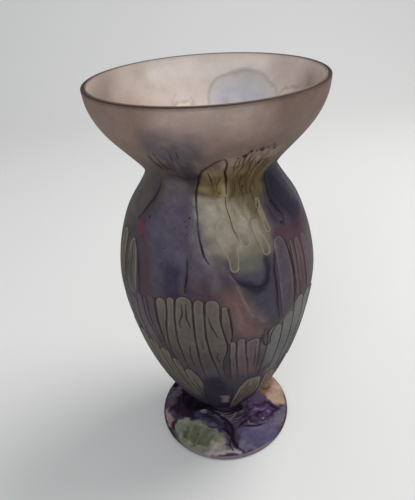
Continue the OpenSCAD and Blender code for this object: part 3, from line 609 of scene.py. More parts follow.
def make_casing(material):
    """The pale casing inside the wall, from its lip down to the cavity's round bottom."""
    top = RIM_Z - CASING_LIP_RISE
    rows = [(z, WALL_T + CASING_GAP) for z in heights(CAVITY_Z + BOTTOM_RISE, top, 2.4)]
    rows += lip(CASING_T - CASING_GAP, WALL_T + CASING_GAP, CASING_LIP_RISE)
    rows += [(z, WALL_T + CASING_T) for z in heights(top, CAVITY_Z + BOTTOM_RISE, 1.5)]
    rings = turned(rows, SEGMENTS)
    under = [rings[0] * [k, k, 1] - [0, 0, d] for k, d in reversed(BOTTOM_STEPS)]
    inside = [rings[-1] * [k, k, 1] - [0, 0, d - CASING_T * (1 - k)] for k, d in BOTTOM_STEPS]
    rings = under + rings + inside
    points = np.concatenate(rings)
    faces = closed_faces(len(rings), SEGMENTS)
    angles = np.tile(around(SEGMENTS), len(rings))
    colours = casing_paint(angles, np.clip(points[:, 2], WAIST_Z, RIM_Z))
    lip_part = smoothstep(RIM_Z - 0.4, RIM_Z - 0.15, points[:, 2])
    colours = mix(colours, srgb(112, 90, 80), 0.9 * lip_part)
    piece = mesh_piece("casing_glass", points, faces, colours, material)
    return place(piece, "inner_casing")


FOOT_SEGMENTS = 360
FOOT_RING_W = 6
DISH_DEPTH = 1.2
# The ground hollow under the foot: radius, height
PONTIL = [(9, DISH_DEPTH), (7.5, 1.7), (5.0, 2.1), (2.0, 2.3)]


def foot_rows():
    """The foot's outline as (radius, height), from its crown over the edge to its underside."""
    edge = FOOT_EDGE_T / 2
    dish_r = FOOT_FLAT_R - FOOT_RING_W
    rows = [(r, float(foot_top(r))) for r in np.linspace(2.0, FOOT_FLAT_R, 92)]
    rows += [(FOOT_FLAT_R + edge * math.cos(b), edge + edge * math.sin(b))
             for b in np.radians(np.arange(72, -90, -18))]
    rows += [(FOOT_FLAT_R - k * FOOT_RING_W / 2, 0.0) for k in range(3)]
    rows += [(r, DISH_DEPTH * math.sin(math.radians(90 * (dish_r - r) / (dish_r - PONTIL[0][0]))))
             for r in (36, 28, 20, 12)]
    return rows + PONTIL


def make_foot(material):
    """The disc foot: painted top, round edge, dished underside with a ground hollow."""
    turns = np.radians(around(FOOT_SEGMENTS))
    rows = foot_rows()
    points = np.concatenate([ring(r, z, turns) for r, z in rows])
    top = points[:, 2] > FOOT_EDGE_T - 0.01
    reach = np.hypot(points[:, 0], points[:, 1])
    crumple = smoothstep(26, 12, reach) * (0.5 * waves(points, 5, 31) + 0.3 * waves(points, 2.4, 32))
    swell = 0.12 * waves(points, 14, 33) * smoothstep(FOOT_R - 1, FOOT_R - 6, reach)
    points[:, 2] += np.where(top, np.maximum(crumple, -0.4) + swell, 0)
    colours = foot_paint(points[:, 0], points[:, 1])
    side = mix(np.tile(srgb(62, 50, 58), (len(points), 1)), srgb(132, 120, 126),
               smoothstep(-26, -42, points[:, 1]))
    # Painted shade: the lower half of the round edge, which turns under towards the floor, is darker
    side = mix(side, srgb(40, 28, 36), 1 - smoothstep(0.4, 1.3, points[:, 2]))
    colours = mix(colours, side, np.where(top, 0, 0.75))
    faces = [f[::-1] for f in closed_faces(len(rows), FOOT_SEGMENTS)]
    return place(mesh_piece("foot_glass", points, faces, colours, material), "foot")


def make_wafer(material):
    """The wafer of hot glass at the waist, a little lumpy."""
    count, rows = 120, 13
    turns = np.radians(around(count))
    low, high = FOOT_CROWN_Z - 0.4, WAIST_Z + 0.3
    rings = []
    for k in range(rows):
        bulge = math.pi * (k / (rows - 1) - 0.5)
        r = WAIST_R - 0.3 + 1.6 * math.cos(bulge)
        z = (low + high) / 2 + (high - low) / 2 * math.sin(bulge)
        rings.append(ring(r, z, turns))
    points = np.concatenate(rings)
    lumps = 0.35 * waves(points, 4, 41) + 0.2 * waves(points, 2, 42)
    points[:, :2] *= (1 + lumps / 12)[:, None]
    faces = closed_faces(rows, count)
    colours = np.tile(srgb(48, 36, 54), (len(points), 1)) * (1 + 0.25 * waves(points, 4, 43))[:, None]
    return place(mesh_piece("wafer_glass", points, faces, colours, material), "waist_wafer")


# ---------------------------------------------------------------- laid-on pieces

# Distances in from a piece's edge, in mm, at which its mesh has columns
EDGE_COLUMNS = np.array([0, 0.18, 0.38, 0.6, 0.85, 1.2])
COLUMN_STEP = 1.6
ROW_STEP = 0.9

# What a laid-on piece looks like unless its own look says otherwise. Lengths are in mm, colours in
# sRGB, and lists run along the piece: keep is how much of its own tints it shows, line how dark its
# contour is and pale how bright the rim inside the contour is.
PLAIN_LOOK = {"cap": None, "wobble": 0.25, "fade": 0, "lift": 0.2, "ramp": 0.7, "ridge": 0.06, "base": 0.02,
              "lumps": 0.04, "tints": None, "keep": None, "soft": 0.8, "line": None, "line_w": 0.55,
              "ink": (48, 34, 36), "pale": None, "pale_at": 0.95, "pale_tint": (176, 168, 150)}


def columns_for(half):
    """Column places for a piece: (edge distance, share of the rest), left to right."""
    inner = max(int(math.ceil(2 * (half - EDGE_COLUMNS[-1]) / COLUMN_STEP)), 1)
    shares = np.linspace(-1, 1, inner + 1)[1:-1]
    left = [(d, -1.0, 0.0) for d in EDGE_COLUMNS]
    right = [(d, 1.0, 0.0) for d in EDGE_COLUMNS[::-1]]
    return left + [(None, 0.0, s) for s in shares] + right


def rows_along(total):
    """Distances along a strip of that length at which its mesh has rows, closer at the ends."""
    u = np.linspace(0, 1, max(int(total / ROW_STEP), 8) + 1)
    at = total * (0.45 * u + 0.55 * (0.5 - 0.5 * np.cos(math.pi * u)))
    at[0], at[-1] = 0.004 * total, 0.996 * total
    return at


def centre_line(run, on_foot):
    """A strip's centre line by rows: distance along, place, half width, direction and scale."""
    line = smooth(run, 12)
    x, y = line[:, 0], line[:, 1]
    s = y if on_foot else WALL.along(y)
    scale = np.ones_like(x) if on_foot else mm_per_degree(y)
    steps = np.hypot(np.diff(x) * (scale[1:] + scale[:-1]) / 2, np.diff(s))
    length = np.concatenate([[0], np.cumsum(steps)])
    total = length[-1]
    at = rows_along(total)
    fine = np.linspace(0, total, 600)
    cx, cs, cw = (np.interp(at, length, v) for v in (x, s, line[:, 2]))
    gx, gs = (np.gradient(np.interp(fine, length, v), fine) for v in (x, s))
    row_scale = np.ones_like(cs) if on_foot else mm_per_degree(WALL.height(cs))
    tx, ts = np.interp(at, fine, gx) * row_scale, np.interp(at, fine, gs)
    norm = np.hypot(tx, ts)
    return at, total, cx, cs, cw, tx / norm, ts / norm, row_scale


def rounded(at, total, cw, cap):
    """Row by row: the way to a strip's nearer end, the cap's length, how deep into it, and half width."""
    end = np.minimum(at, total - at)
    reach = np.minimum(cap if cap else cw, np.maximum(cw, 0.2))
    inside = np.clip(1 - end / reach, 0, 1)
    return end, reach, inside, np.maximum(cw * np.sqrt(1 - inside ** 2), 0.02)


def edge_distance(places, end, reach, inside, half, cw):
    """Distance in from the strip's edge at each mesh point."""
    across = np.abs(places)
    rho = np.sqrt(inside[:, None] ** 2 + (across / cw[:, None]) ** 2)
    turn = np.arctan2(across / cw[:, None], inside[:, None])
    stretch = np.hypot(reach[:, None] * np.cos(turn), cw[:, None] * np.sin(turn))
    return np.where(end[:, None] < reach[:, None], (1 - rho) * stretch, half[:, None] - across)


def unsteady(places, at, end, cw, wobble, seed):
    """The strip's points pushed about a little, as a hand draws it."""
    rng = np.random.default_rng(seed)
    phases = rng.uniform(0, 2 * math.pi, 6)
    shift = sum(np.sin(at / wave + ph) for wave, ph in zip((1.7, 3.1, 5.3), phases)) / 3
    swell = sum(np.sin(at / wave + ph) for wave, ph in zip((1.3, 2.6, 4.7), phases[3:])) / 3
    places = places * (1 + wobble * 0.5 * swell / np.maximum(cw, 0.5))[:, None]
    return places + (wobble * shift)[:, None] * np.minimum(1, end / 3)[:, None]


def strip_grid(run, on_foot, cap, wobble, seed):
    """Chart places, edge distances and share along of a strip's mesh points."""
    at, total, cx, cs, cw, tx, ts, row_scale = centre_line(run, on_foot)
    end, reach, inside, half = rounded(at, total, cw, cap)
    cols = columns_for(float(cw.max()))
    tight = np.minimum(1, half / (EDGE_COLUMNS[-1] * 1.15))
    core = half - EDGE_COLUMNS[-1] * tight
    places = np.stack([share * core if d is None else side * (half - d * tight)
                       for d, side, share in cols], -1)
    edge = edge_distance(places, end, reach, inside, half, cw)
    places = unsteady(places, at, end, cw, wobble, seed)
    px = cx[:, None] - places * (ts / row_scale)[:, None]
    ps = cs[:, None] + places * tx[:, None]
    along = np.repeat((at / total)[:, None], len(cols), axis=1)
    return px, (ps if on_foot else WALL.height(ps)), np.maximum(edge, 0), along


def strip_faces(rows, cols, n):
    """Faces of a strip: its top of cols columns, its underside of n columns, and the four sides."""
    faces = [(i * cols + j, i * cols + j + 1, (i + 1) * cols + j + 1, (i + 1) * cols + j)
             for i in range(rows - 1) for j in range(cols - 1)]
    base = rows * cols
    faces += [(base + i * n + j, base + (i + 1) * n + j, base + (i + 1) * n + j + 1, base + i * n + j + 1)
              for i in range(rows - 1) for j in range(n - 1)]
    for i in range(rows - 1):
        faces.append((i * cols, (i + 1) * cols, base + (i + 1) * n, base + i * n))
        faces.append((i * cols + cols - 1, base + i * n + n - 1,
                      base + (i + 1) * n + n - 1, (i + 1) * cols + cols - 1))
    end, low_end = (rows - 1) * cols, base + (rows - 1) * n
    faces.append(tuple(range(cols - 1, -1, -1)) + tuple(range(base, base + n)))
    faces.append(tuple(range(end, end + cols)) + tuple(range(low_end + n - 1, low_end - 1, -1)))
    return faces


def strip(run, look, seed, on_foot):
    """Points, faces and colours of one laid-on strip of glass."""
    px, py, edge, along = strip_grid(run, on_foot, look["cap"], look["wobble"], seed)
    rows, cols = px.shape
    flat = [v.ravel() for v in (px, py, edge, along)]
    tail = 1 - look["fade"] * smoothstep(0.7, 0.98, flat[3])
    lift = look["lift"] * smoothstep(0, look["ramp"], flat[2])
    lift = lift + look["ridge"] * np.exp(-((flat[2] - 0.5) / 0.3) ** 2)
    lift = lift * tail + look["base"]
    point = foot_point if on_foot else wall_point
    rough = look["lumps"] * waves(point(flat[0], flat[1], lift), 3, seed + 90)
    top = point(flat[0], flat[1], lift + rough * smoothstep(0, 1.2, flat[2]))
    keep = sorted({0, cols - 1} | set(range(0, cols, 5)))
    under = point(px[:, keep].ravel(), py[:, keep].ravel(), np.full(rows * len(keep), -SINK))
    colours = strip_paint(look, *flat, top, seed, on_foot)
    low = colours.reshape(rows, cols, 3)[:, keep].reshape(-1, 3)
    faces = strip_faces(rows, cols, len(keep))
    return np.concatenate([top, under]), faces, np.concatenate([colours, low])


def strip_paint(look, px, py, edge, along, spots, seed, on_foot):
    """Colour of a strip: the wash under it, its own tint, a pale rim and a dark contour."""
    colour = foot_paint(px, py) if on_foot else wall_paint(px, py)
    if look["tints"]:
        own = ramp(look["tints"], along, np.linspace(0, 1, len(look["tints"])))
        colour = mix(colour, own, level(look["keep"], along) * smoothstep(0, look["soft"], edge))
    grain = 0.08 * waves(spots, 4, seed + 50, (1, 1, 4)) + 0.07 * waves(spots, 1.8, seed + 51)
    colour = colour * (1 + grain * smoothstep(0, look["ramp"], edge))[..., None]
    if look["pale"]:
        glow = np.exp(-((edge - look["pale_at"]) / 0.4) ** 2)
        colour = mix(colour, srgb(*look["pale_tint"]), glow * level(look["pale"], along))
    if look["line"]:
        width = look["line_w"] * (1 + 0.35 * waves(spots, 3.5, seed + 52))
        ink = 1 - smoothstep(width - 0.15, width + 0.25, edge)
        colour = mix(colour, srgb(*look["ink"]), ink * level(look["line"], along))
    return colour


def laid_on(name, node, runs, look, material, seed, on_foot=False):
    """One piece made of several strips."""
    look = {**PLAIN_LOOK, **look}
    points, faces, colours, base = [], [], [], 0
    for k, run in enumerate(runs):
        p, f, c = strip(run, look, seed * 17 + k, on_foot)
        faces += [tuple(i + base for i in face) for face in f]
        points.append(p)
        colours.append(c)
        base += len(p)
    piece = mesh_piece(name, np.concatenate(points), faces, np.concatenate(colours), material)
    return place(piece, node)


def lay_table(table, material, first_seed, on_foot=False):
    """A piece for each entry of a table, named after the CAD node that it stands for."""
    for index, (node, entry) in enumerate(table.items()):
        laid_on(f"{node}_glass", node, entry["runs"], entry["look"], material,
                first_seed + index, on_foot)


def fan(lines, ends):
    """Finger runs between neighbouring boundary lines: each line is [angle, height] points going
    down, and ends gives each finger's [top, bottom] height."""
    runs = []
    for left, right, (top, bottom) in zip(lines, lines[1:], ends):
        z = np.linspace(top, bottom, 7)
        a, b = (np.interp(-z, [-p[1] for p in line], [p[0] for p in line]) for line in (left, right))
        half = (b - a) / 2 * mm_per_degree(z)
        runs.append([[m, h, max(w - 0.08, 0.5)] for m, h, w in zip((a + b) / 2, z, half)])
    return runs


TAN = [(100, 91, 83), (84, 77, 70), (66, 61, 60)]
FINGERS = {"line_w": 0.34, "fade": 1, "lift": 0.15, "ridge": 0.02}
TAN_FINGERS = {**FINGERS, "tints": TAN, "pale": [0.12, 0.05, 0], "line_w": 0.36, "ink": (40, 28, 30)}
FANS = {
    "tan_fan": {
        "slot": "tan_glass",
        "lines": [
            [[-35, 148], [-34.6, 128], [-33.8, 110], [-30, 101]],
            [[-28.4, 149], [-28, 142], [-30.2, 130], [-31.2, 116], [-30, 104], [-26, 94]],
            [[-23, 149], [-24, 139], [-24.4, 118], [-23, 104], [-21, 93], [-16, 86]],
            [[-13.5, 151], [-13.8, 136], [-13.6, 112], [-13, 98], [-11, 87], [-9, 80]],
            [[-7.3, 151], [-8, 138], [-7.8, 124], [-6.6, 112], [-4.4, 100], [-1.6, 87], [0, 80]],
            [[0.6, 148], [0, 139], [2, 128], [3.4, 118], [2.2, 111], [0.6, 106], [1, 90], [3, 82]],
            [[4, 147], [5.4, 139], [6, 129], [5, 120]],
        ],
        "ends": [[150.5, 103], [152.4, 96], [154.2, 84], [153, 80], [153, 80], [148.6, 117]],
        "look": {**TAN_FINGERS, "keep": [0.95, 0.85, 0.4, 0], "line": [0.95, 0.7, 0.6, 0.4, 0]},
    },
    "left_mauve_fingers": {
        "slot": "purple_glass",
        "lines": [
            [[-66, 140], [-67, 130], [-64, 114]],
            [[-57.5, 142], [-58.5, 130], [-55.5, 112]],
            [[-50, 145], [-50.6, 131], [-48.5, 116], [-45, 104]],
            [[-45, 146], [-44, 132], [-40.5, 120], [-37.4, 110]],
            [[-41.6, 147], [-40.6, 132], [-38, 121], [-35.6, 112]],
            [[-35.8, 149], [-35.4, 132], [-34.8, 118], [-34.2, 112]],
        ],
        "ends": [[140, 116], [142, 114], [147, 110], [146.5, 114], [149.5, 112]],
        "look": {**FINGERS, "tints": [(84, 72, 78), (80, 70, 74)], "keep": [0.7, 0],
                 "line": [0.7, 0.5, 0.3, 0], "ink": (44, 30, 38), "line_w": 0.32},
    },
    "left_olive_fan": {
        "slot": "olive_glass",
        "lines": [
            [[-82, 112], [-80, 98], [-70, 78], [-56, 58]],
            [[-71, 114], [-69, 98], [-60, 78], [-48, 58]],
            [[-60, 112], [-58, 96], [-50, 76], [-41, 56]],
            [[-50.5, 108], [-48, 94], [-41.5, 74], [-34, 54]],
            [[-41.5, 106], [-39, 92], [-34, 74], [-28, 54]],
            [[-33.6, 101], [-31, 88], [-27.4, 74], [-23, 54]],
            [[-26.4, 93], [-25.4, 84], [-22.6, 72], [-19.4, 56]],
            [[-18, 90], [-14.8, 83], [-14.8, 76], [-16.6, 68], [-16.4, 56]],
        ],
        "ends": [[114, 62], [117, 60], [114, 58], [111, 56], [108, 55], [102, 54], [94, 56]],
        "look": {**FINGERS, "tints": [(88, 83, 72), (80, 75, 67), (66, 60, 58)],
                 "keep": [0.95, 0.9, 0.4, 0], "line": [0.8, 0.6, 0.5, 0.3, 0], "pale": [0.15, 0.08, 0],
                 "ink": (40, 30, 32), "base": 0.05},
    },
    "pink_fingers": {
        "slot": "rose_glass",
        "lines": [
            [[4.2, 121], [4, 108], [4.5, 92], [6, 80]],
            [[8.3, 122], [8, 111], [8.6, 98], [10, 82]],
            [[13.2, 120], [14, 108], [15.6, 96], [17, 84]],
            [[22.4, 118], [21.8, 106], [22.2, 94], [22.6, 84]],
        ],
        "ends": [[122.4, 82], [124, 82], [121.6, 84]],
        "look": {**FINGERS, "tints": [(101, 86, 89), (88, 72, 78), (66, 52, 61)],
                 "keep": [0.95, 0.85, 0.3, 0], "line": [0.9, 0.6, 0.5, 0.3, 0], "pale": [0.15, 0.05, 0],
                 "ink": (40, 26, 32)},
    },
    "right_green_fan": {
        "slot": "green_glass",
        "lines": [
            [[27, 118], [27, 108], [26, 92], [25.5, 80]],
            [[36.6, 127], [37, 114], [35.6, 100], [33, 82]],
            [[45, 131], [46, 117], [45, 104], [41, 82]],
            [[54.4, 134], [55, 118], [53.6, 102], [49, 80]],
            [[64, 131], [64, 114], [62, 98], [57, 78]],
            [[74, 126], [73, 110], [70, 94], [65, 76]],
        ],
        "ends": [[126, 86], [131, 84], [137.4, 82], [136, 80], [130, 78]],
        "look": {**FINGERS, "tints": [(106, 105, 100), (103, 102, 100), (90, 88, 90)],
                 "keep": [0.95, 0.85, 0.3, 0], "line": [0.8, 0.5, 0.4, 0.3, 0], "pale": [0.15, 0.06, 0],
                 "ink": (42, 36, 38)},
    },
    "back_tan_fan": {
        "slot": "tan_glass",
        "lines": [[[93 + 9.5 * k, 148], [94 + 9.3 * k, 130], [98 + 8.4 * k, 106], [102 + 7.6 * k, 84]]
                  for k in range(10)],
        "ends": [[146, 90], [150, 88], [152, 86], [148, 86], [153, 84], [150, 86], [147, 88], [152, 88],
                 [148, 90]],
        "look": {**TAN_FINGERS, "keep": [0.95, 0.85, 0.3, 0], "line": [0.95, 0.7, 0.6, 0.3, 0]},
    },
    "back_long_fingers": {
        "slot": "purple_glass",
        "lines": [[[180 + 10.6 * k, 166], [180 + 10.6 * k, 148], [180 + 10.6 * k, 124]] for k in range(6)],
        "ends": [[167, 128], [163, 126], [168, 128], [165, 126], [162, 128]],
        "look": {**FINGERS, "tints": [(84, 74, 88), (78, 68, 80)], "keep": [0.9, 0.6, 0],
                 "line": [0.8, 0.5, 0], "pale": [0.15, 0.05], "ink": (40, 28, 40)},
    },
    "back_green_fan": {
        "slot": "green_glass",
        "lines": [[[178 + 9 * k, 118], [178 + 9 * k, 98], [179 + 8.9 * k, 76], [180 + 8.6 * k, 56]]
                  for k in range(9)],
        "ends": [[118, 62], [121, 60], [117, 60], [122, 58], [119, 60], [123, 58], [118, 60], [116, 62]],
        "look": {**FINGERS, "tints": [(100, 102, 90), (90, 92, 86), (74, 72, 76)],
                 "keep": [0.95, 0.85, 0.3, 0], "line": [0.8, 0.5, 0.4, 0.2, 0], "pale": [0.15, 0.06, 0],
                 "ink": (44, 38, 40)},
    },
}
for fingers in FANS.values():
    fingers["runs"] = fan(fingers["lines"], fingers["ends"])

SOFT = {"cap": 6, "ridge": 0, "wobble": 0.4, "lift": 0.12, "ramp": 4}
PATCHES = {
    "bowl_blue_wash": {
        "slot": "lavender_glass",
        "runs": [[[-17, 214, 8], [-18, 224, 10], [-18, 233, 11], [-18, 240, 6]]],
        "look": {**SOFT, "lumps": 0.06},
    },
    "bowl_back_roundel": {
        "slot": "lavender_glass",
        "runs": [[[160, 226, 14], [160, 235, 19], [160, 243, 12]]],
        "look": {"tints": [(96, 92, 108), (108, 104, 118)], "keep": [0.8, 0.8], "ramp": 2,
                 "soft": 2, "cap": 8, "line": [0.4, 0.6, 0.6], "ink": (76, 64, 66), "wobble": 0.6},
    },
    "bowl_rose_roundel": {
        "slot": "rose_glass",
        "runs": [[[122, 231, 5], [123, 238, 7], [124, 244, 5]]],
        "look": {"tints": [(116, 88, 80), (124, 98, 88)], "keep": [0.8, 0.8], "ramp": 2,
                 "soft": 1.5, "line": [0.5, 0.6, 0.6], "ink": (80, 58, 52), "wobble": 0.5},
    },
    "neck_olive_patch": {
        "slot": "olive_glass",
        "runs": [[[12, 202, 14], [13, 208, 16.5], [16, 216, 18], [22, 225, 18], [25, 231, 13]]],
        "look": {**SOFT, "cap": 3, "lumps": 0.07, "wobble": 0.9},
    },
    "neck_cream_band": {
        "slot": "cream_glass",
        "runs": [[[7, 200, 11], [7, 193, 14], [9, 186, 15]]],
        "look": {**SOFT, "lumps": 0.1},
    },
    "neck_cream_drips": {
        "slot": "cream_glass",
        "runs": [
            [[4.6, 193, 3], [5.6, 186, 5], [8, 180, 4.8], [9.2, 175, 3.3], [9.4, 166.6, 2.6]],
            [[16.8, 193.6, 4], [17, 186, 3.6], [17.4, 178, 2.6]],
            [[25.4, 190.5, 2.3], [26, 183, 2.5], [28.4, 176, 2.8], [29, 171.4, 2.7]],
            [[33, 199, 1.6], [32.4, 191, 2], [33.2, 182, 2]],
        ],
        "look": {"tints": [(150, 142, 124), (150, 141, 123), (122, 114, 98),
                           (98, 90, 80)],
                 "keep": [0.4, 0.5, 0.7, 0.8], "lift": 0.18, "ridge": 0.16, "base": 0.08, "soft": 1.5,
                 "line": [0.5, 0.3, 0.3, 0.4], "line_w": 0.26, "ink": (92, 82, 62), "ramp": 1.2,
                 "pale": [0.5, 0.3, 0.4, 0.8], "pale_tint": (154, 144, 130), "pale_at": 0.55},
    },
    "back_olive_patch": {
        "slot": "olive_glass",
        "runs": [[[149, 201, 14], [150, 211, 19], [153, 220, 18], [155, 228, 12]]],
        "look": {**SOFT, "cap": 3, "lumps": 0.07, "wobble": 0.9},
    },
    "purple_patch": {
        "slot": "purple_glass",
        "runs": [[[-28, 211, 9], [-29, 199, 12], [-30, 186, 16], [-29, 172, 12], [-28, 154, 10]]],
        "look": SOFT,
    },
    "mauve_patch": {
        "slot": "rose_glass",
        "runs": [[[-8, 181, 4], [-8, 168, 7], [-8.5, 156, 8]]],
        "look": SOFT,
    },
    "red_spot": {
        "slot": "rose_glass",
        "runs": [[[-57, 189, 2.5], [-54, 185, 4], [-51, 180, 3]]],
        "look": {**SOFT, "tints": [(98, 50, 62)], "keep": [0.6], "soft": 3, "cap": 3},
    },
    "left_shoulder_patch": {
        "slot": "olive_glass",
        "runs": [[[-71, 206, 12], [-73, 196, 14], [-74, 186, 15]]],
        "look": SOFT,
    },
    "right_indigo_patch": {
        "slot": "indigo_glass",
        "runs": [[[64, 206, 12], [65, 193, 14], [66, 178, 16]]],
        "look": SOFT,
    },
    "right_blotch": {
        "slot": "indigo_glass",
        "runs": [[[49, 207, 2], [46, 199, 3.6], [46, 190, 5], [48, 184, 4]]],
        "look": {"tints": [(36, 32, 52), (44, 34, 56), (48, 34, 56)], "keep": [0.8, 0.8, 0.5],
                 "soft": 2.5, "wobble": 0.7, "line": [0.5, 0.5, 0.3], "ink": (26, 18, 28), "ramp": 2,
                 "line_w": 0.45, "ridge": 0.03},
    },
    "back_indigo_patch": {
        "slot": "indigo_glass",
        "runs": [[[214, 207, 13], [214, 196, 16], [216, 184, 18], [217, 171, 13]]],
        "look": {**SOFT, "cap": 8, "wobble": 0.6},
    },
    "back_cream_drips": {
        "slot": "cream_glass",
        "runs": [[[126 + 8 * k, 199, 2], [127 + 8 * k, 188, 3], [127 + 8 * k, 176 - 4 * (k % 3), 3]]
                 for k in range(6)],
        "look": {"tints": [(134, 127, 110), (140, 132, 114), (100, 92, 80)],
                 "keep": [0.4, 0.6, 0.8], "ridge": 0.2, "base": 0.08, "line": [0.2, 0.3, 0.5],
                 "line_w": 0.3, "ink": (82, 74, 60), "pale": [0.2, 0.5, 1], "ramp": 1.2, "soft": 1.5,
                 "pale_tint": (158, 148, 132), "pale_at": 0.6},
    },
    "indigo_crescent": {
        "slot": "indigo_glass",
        "runs": [[[7, 167.6, 0.8], [9.6, 162.4, 1.1], [14.4, 158.6, 1.4], [20, 156.4, 1.5],
                  [25, 157.2, 1.5], [27.8, 161.6, 1.2], [29.4, 168, 0.9], [30, 174, 0.6]]],
        "look": {"tints": [(38, 34, 46), (36, 32, 48), (36, 32, 54), (42, 38, 58)],
                 "keep": [0.7, 0.9, 0.9, 0.5], "soft": 0.9, "base": 0.08, "ridge": 0, "ramp": 1.2},
    },
    "lavender_patch": {
        "slot": "lavender_glass",
        "runs": [[[21, 152, 8], [22, 142, 9], [24, 132, 7]]],
        "look": SOFT,
    },
    "peach_streak": {
        "slot": "amber_glass",
        "runs": [[[6, 166, 0.7], [9, 157, 1.6], [12, 149, 2], [18, 140, 1.8], [24, 132, 1]]],
        "look": {**SOFT, "cap": 3, "ramp": 2},
    },
    "rose_patch": {
        "slot": "rose_glass",
        "runs": [[[7, 150, 2], [9, 140, 3], [12, 129, 2.6]]],
        "look": {**SOFT, "cap": 3, "ramp": 2},
    },
    "left_olive_leaf": {
        "slot": "olive_glass",
        "runs": [[[-55.6, 177, 2.6], [-55, 165, 5.2], [-54.6, 152, 5.4], [-54, 144, 4]],
                 [[-68, 178, 3], [-69, 165, 5], [-67, 148, 5]]],
        "look": {"tints": [(88, 82, 66), (84, 80, 62), (80, 74, 68)],
                 "keep": [0.8, 0.7, 0.2], "soft": 1.6, "line": [0.6, 0.5, 0.2, 0], "line_w": 0.35,
                 "ink": (46, 36, 34), "pale": [0.4, 0.3, 0.1], "fade": 1, "ramp": 1.2},
    },
    "right_long_fingers": {
        "slot": "purple_glass",
        "runs": [
            [[38, 179, 4], [38.6, 164, 5.4], [38.8, 146, 5.6], [39, 128, 4]],
            [[46.8, 174, 1], [47, 158, 1.3], [47, 139, 1.2]],
            [[52.4, 173, 2.4], [52.4, 158, 3.4], [52.4, 138, 3]],
            [[60.4, 172, 2.6], [60.4, 158, 3.4], [60.4, 137, 3]],
        ],
        "look": {"tints": [(88, 78, 86), (82, 72, 82), (74, 66, 78)],
                 "keep": [0.3, 0.15, 0.1], "soft": 1.2, "line": [0.5, 0.6, 0.7, 0.4], "ramp": 1,
                 "ink": (36, 26, 32), "line_w": 0.35, "pale": [0.35, 0.3, 0],
                 "pale_tint": (130, 112, 110)},
    },
    "base_petals": {
        "slot": "indigo_glass",
        "runs": [[[-4, 90, 4], [-4, 74, 8], [-5, 58, 7.5], [-6, 42, 4]]],
        "look": SOFT,
    },
    "base_leaf": {
        "slot": "tan_glass",
        "runs": [[[9, 26, 1.2], [9.4, 31, 1.9], [11, 40, 3.2], [12.8, 46, 4.4], [15.4, 52, 6],
                  [18.6, 59, 7.8], [20, 66, 8.2], [20.8, 73, 7.2], [21.6, 80.6, 5.2]],
                 [[39, 40, 2.4], [38, 54, 4.6], [38, 66, 5.4], [36, 79.6, 3.6]]],
        "look": {"tints": [(60, 50, 52), (80, 69, 60), (90, 77, 65), (106, 92, 82)],
                 "keep": [0.7, 0.9, 0.9, 0.9], "soft": 0.8, "line": [0.3, 0.8, 0.9, 0.9], "line_w": 0.5,
                 "ink": (36, 24, 28), "pale": [0, 0.1, 0.2], "base": 0.04, "lift": 0.15, "cap": 3.4,
                 "ridge": 0.02},
    },
}

